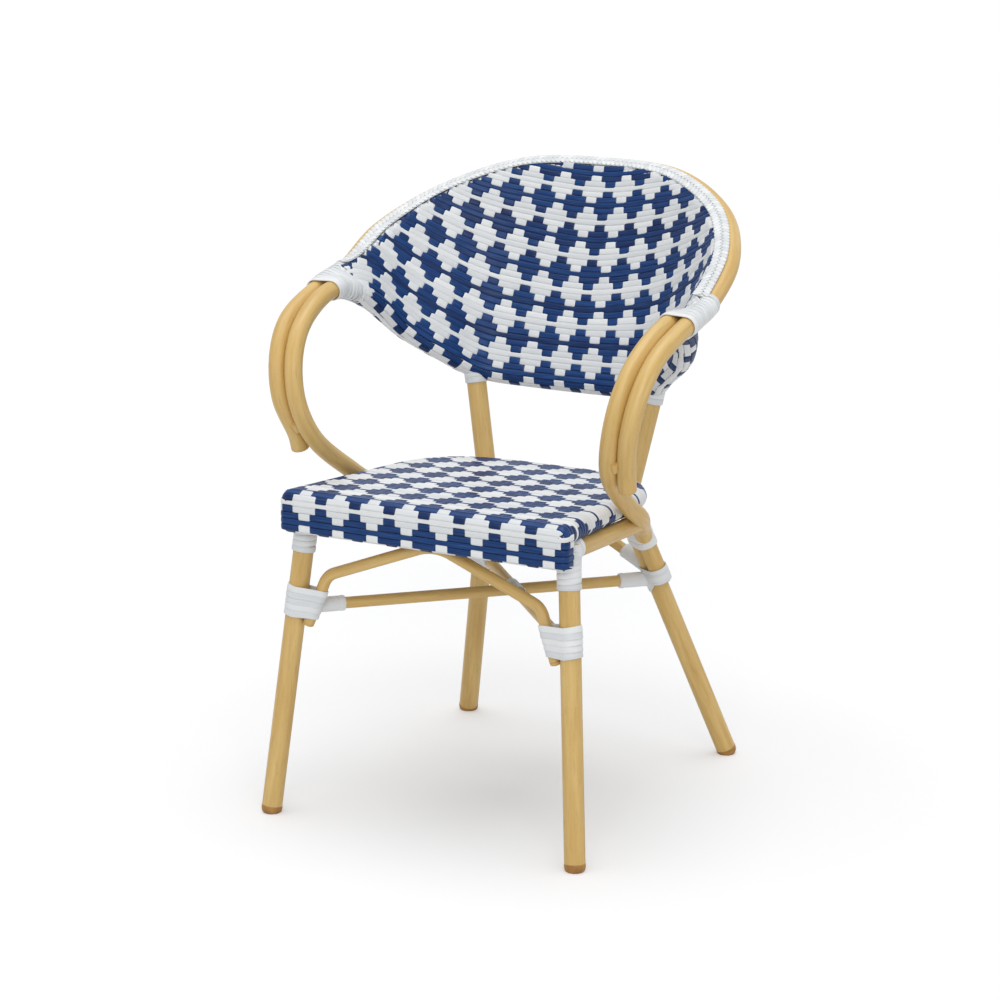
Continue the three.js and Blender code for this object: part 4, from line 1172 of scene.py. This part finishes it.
def leg_wraps():
    leg_r, arm_r = LEG_R + COVER, ARM_R + COVER
    for name, side in SIDES.items():
        bow = half_of(front_bow(), side)
        tubes = [stretch(front_leg, FRONT_WRAP, side, leg_r),
                 (where(bow, Z, FRONT_WRAP_BOW[0]), where(bow, Z, FRONT_WRAP_BOW[1]), BOW_R + COVER)]
        make_loops(f"front_stretcher_wrap_{name}", tubes, f"front_leg_wrap_{name}", count=5, width=8.9)
        tubes = [stretch(rear_leg, REAR_WRAP, side, leg_r), stretch(arm_foot, REAR_WRAP_ARM, side, arm_r)]
        make_loops(f"rear_stretcher_wrap_{name}", tubes, f"rear_leg_wrap_{name}", count=4, width=9.4)
        tubes = [stretch(rear_leg, ARM_BAND, side, leg_r), stretch(arm_foot, ARM_BAND, side, arm_r)]
        make_loops(f"arm_foot_band_{name}", tubes, f"rear_leg_band_{name}", count=3, width=9.6)
        tubes = [stretch(post, POST_WRAP, side, leg_r)]
        make_loops(f"post_top_band_{name}", tubes, f"post_top_wrap_{name}", count=3, width=9.0)
        corner_wrap(name, side)
        leg_top(name, side)


def corner_wrap(name, side):
    """Strands that fan round the corner of a front leg and the side rail, and three more below."""
    start, end = side_rail(side)
    way, up = norm(end - start), leg_way(front_leg, side)
    inner = start + way * (LEG_R + 0.6) - up * (ARM_R + 0.6)
    reach = LEG_R + 1.8
    bundle = Bundle()
    for angle in np.radians(np.linspace(0, 84, 6)):
        centre = inner - way * math.cos(angle) * reach + up * math.sin(angle) * reach
        normal = up * math.cos(angle) + way * math.sin(angle)
        bundle.loop(*hull_loop([centre], [reach], normal))
    loops(bundle, [stretch(front_leg, COLLAR, side, LEG_R + 1.6)], 3)
    make_strands(f"leg_top_band_{name}", bundle, white_section(9.0, 1.9, 8, 0.6), f"leg_top_collar_{name}")


def leg_top(name, side):
    """The helix at the top of a front leg, one closing loop, and a thin layer under them."""
    node = f"leg_top_winding_{name}"
    helix, under = ([front_leg(z, side) for z in heights] for heights in (HELIX, HELIX_LAYER))
    bundle = Bundle()
    wound(straight(*helix, 1), LEG_R + COVER, 8.1, bundle, steps=40)
    loops(bundle, [stretch(front_leg, HELIX_CLOSE, side, LEG_R + 1.5)], 1)
    layer = Bundle()
    layer.tube(straight(*under, 2), tone=0.3)
    across = 2 * LEG_R + 1.6
    make_strands(f"leg_top_layer_{name}", layer, white_section(across, across, 28, 1), node)
    make_strands(f"leg_top_strand_{name}", bundle, white_section(8.7, 1.8, 8, 0.55), node)


def arm_wraps():
    for name, side in SIDES.items():
        bundle = Bundle()
        hoop, rail = half_of(HOOP, side), half_of(RAIL, side)
        places = np.linspace(ARM_WRAP[1] - 10, ARM_WRAP[0] + 3, 10)
        pairs = [(where(hoop, Y, y), where(rail, Y, y)) for y in places]
        ways = tangents(np.array([(a + b) / 2 for a, b in pairs]))
        for (a, b), way in zip(pairs, ways):
            way = norm(way - norm(b - a) * (way @ norm(b - a))) + dice.normal(0, 0.02, 3)
            bundle.loop(*hull_loop([a, b], [ARM_R + 1.6] * 2, way, 56))
        make_strands(f"arm_wrap_strands_{name}", bundle, white_section(11.2, 2.0, 10, 0.4),
                     f"arm_wrap_{name}")


SLEEVE_WIDE, SLEEVE_START = 21.0, 12
FRONT_SLEEVE_END, REAR_SLEEVE_END, BOW_SLEEVE_END = 68, 57, 54
CENTRE_WRAP_HALF = 24


def sleeve(name, line, node):
    """A smooth sleeve on a bar with a faint ring and groove near its outer end."""
    run = run_of(line)
    left = run[-1] - run
    ring, groove = np.exp(-((left - 5.0) / 1.4) ** 2), np.exp(-((left - 8.5) / 1.0) ** 2)
    size = (1 + 0.05 * ring - 0.03 * groove) * (1 - 0.12 * np.clip(1 - left / 0.8, 0, 1))
    bundle = Bundle()
    bundle.tube(line, wide=size, deep=size, tone=0.25)
    make_strands(name, bundle, white_section(SLEEVE_WIDE, SLEEVE_WIDE, 24, 1), node)


def bar_sleeve(name, start, end, length, node):
    way = norm(end - start)
    sleeve(name, straight(start + way * SLEEVE_START, start + way * length, 0.8), node)


def sleeves():
    for name, side in SIDES.items():
        front, rear = cross_ends(side)
        bar_sleeve(f"front_bar_cover_{name}", front, rear, FRONT_SLEEVE_END, f"front_bar_sleeve_{name}")
        front, rear = cross_ends(-side)
        bar_sleeve(f"rear_bar_cover_{name}", rear, front, REAR_SLEEVE_END, f"rear_bar_sleeve_{name}")
        line = pick(half_of(rear_bow(), side)[::-1], np.arange(SLEEVE_START, BOW_SLEEVE_END, 0.8))
        sleeve(f"rear_bow_cover_{name}", line, f"rear_bow_sleeve_{name}")
    middle = cross_middle()
    way = norm(cross_ends(1)[1] - middle)
    bundle = Bundle()
    loops(bundle, [(middle - way * CENTRE_WRAP_HALF, middle + way * CENTRE_WRAP_HALF, BOW_R + 1.3)], 6, 28)
    make_strands("cross_wrap_strands", bundle, white_section(8.6, 1.9, 8, 0.75), "cross_centre_wrap")


def kept_nodes():
    """The weld beads and the ring under the weave keep their own shape and get the paint."""
    for node in ("arm_weld_left", "arm_weld_right", "seat_pad_ring"):
        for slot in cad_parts[node].material_slots:
            slot.material = TAN


# Floor, light and camera, in metres
FLOOR_HALF, FLOOR_GREY, FLOOR_SEEN, FLOOR_GLOW = 12.0, (0.8, 0.8, 0.8, 1), (0.695, 0.7, 0.71, 1), 0.28
WORLD_WHITE, WORLD_STRENGTH = (1, 1, 1, 1), 0.44
SUNS = (("overhead_sun", (-0.02, -0.02, 1.0), 56, 1.6), ("front_sun", (0.55, -1.0, 0.6), 40, 0.8))
LENS = 110.06
CAMERA_AT = (1.9276, -3.6006, 1.4582)
CAMERA_RIGHT, CAMERA_BACK = (0.8791, 0.4765, 0), (0.4616, -0.8515, 0.2489)


def emptied(owner):
    """The node tree of a material or a world, with nothing in it."""
    owner.use_nodes = True
    owner.node_tree.nodes.clear()
    return Net(owner.node_tree)


def stage_floor():
    """A white floor that the camera sees brighter than the chair does."""
    mesh = bpy.data.meshes.new("studio_floor")
    turns = ((-1, -1), (1, -1), (1, 1), (-1, 1))
    mesh.from_pydata([(x * FLOOR_HALF, y * FLOOR_HALF, 0) for x, y in turns], [], [(0, 1, 2, 3)])
    floor = placed("studio_floor", mesh)
    material = bpy.data.materials.new("studio_floor_white")
    net = emptied(material)
    plain = net.add("ShaderNodeBsdfDiffuse", {"Color": FLOOR_GREY})
    seen = net.add("ShaderNodeBsdfDiffuse", {"Color": FLOOR_SEEN})
    glow = net.add("ShaderNodeEmission", {"Strength": FLOOR_GLOW})
    total = net.add("ShaderNodeAddShader", {0: seen, 1: glow})
    by_camera = net.node("ShaderNodeLightPath").outputs["Is Camera Ray"]
    chosen = net.add("ShaderNodeMixShader", {0: by_camera, 1: plain, 2: total})
    net.node("ShaderNodeOutputMaterial", {"Surface": chosen})
    mesh.materials.append(material)


def studio_light():
    """A dim white surround that the camera and mirror rays see as full white, and two wide suns."""
    world = bpy.data.worlds.new("studio")
    bpy.context.scene.world = world
    net = emptied(world)
    light = net.add("ShaderNodeBackground", {"Color": WORLD_WHITE, "Strength": WORLD_STRENGTH})
    white = net.add("ShaderNodeBackground", {"Color": WORLD_WHITE})
    rays = net.node("ShaderNodeLightPath").outputs
    direct = net.maths("MAXIMUM", rays["Is Camera Ray"], rays["Is Glossy Ray"])
    direct = net.maths("MAXIMUM", direct, rays["Is Transmission Ray"])
    mixed = net.add("ShaderNodeMixShader", {0: direct, 1: light, 2: white})
    net.node("ShaderNodeOutputWorld", {"Surface": mixed})
    for name, way, spread, strength in SUNS:
        data = bpy.data.lights.new(name, "SUN")
        data.angle = math.radians(spread)
        data.energy = strength
        lamp = placed(name, data)
        lamp.location = Vector(way) * 3
        lamp.rotation_euler = Vector(way).to_track_quat("Z", "Y").to_euler()


def photo_camera():
    data = bpy.data.cameras.new("photo_view")
    data.lens = LENS
    data.sensor_width = 36.0
    camera = placed("photo_view", data)
    right, back = Vector(CAMERA_RIGHT).normalized(), Vector(CAMERA_BACK).normalized()
    turn = Matrix((right, back.cross(right).normalized(), back)).transposed().to_4x4()
    camera.matrix_world = Matrix.Translation(CAMERA_AT) @ turn
    bpy.context.scene.camera = camera


tubes()
feet_and_plugs()
back_weave()
rim_winding()
hoop_braid()
seat_weave()
leg_wraps()
arm_wraps()
sleeves()
kept_nodes()
stage_floor()
studio_light()
photo_camera()
bpy.context.scene.view_settings.view_transform = "Standard"
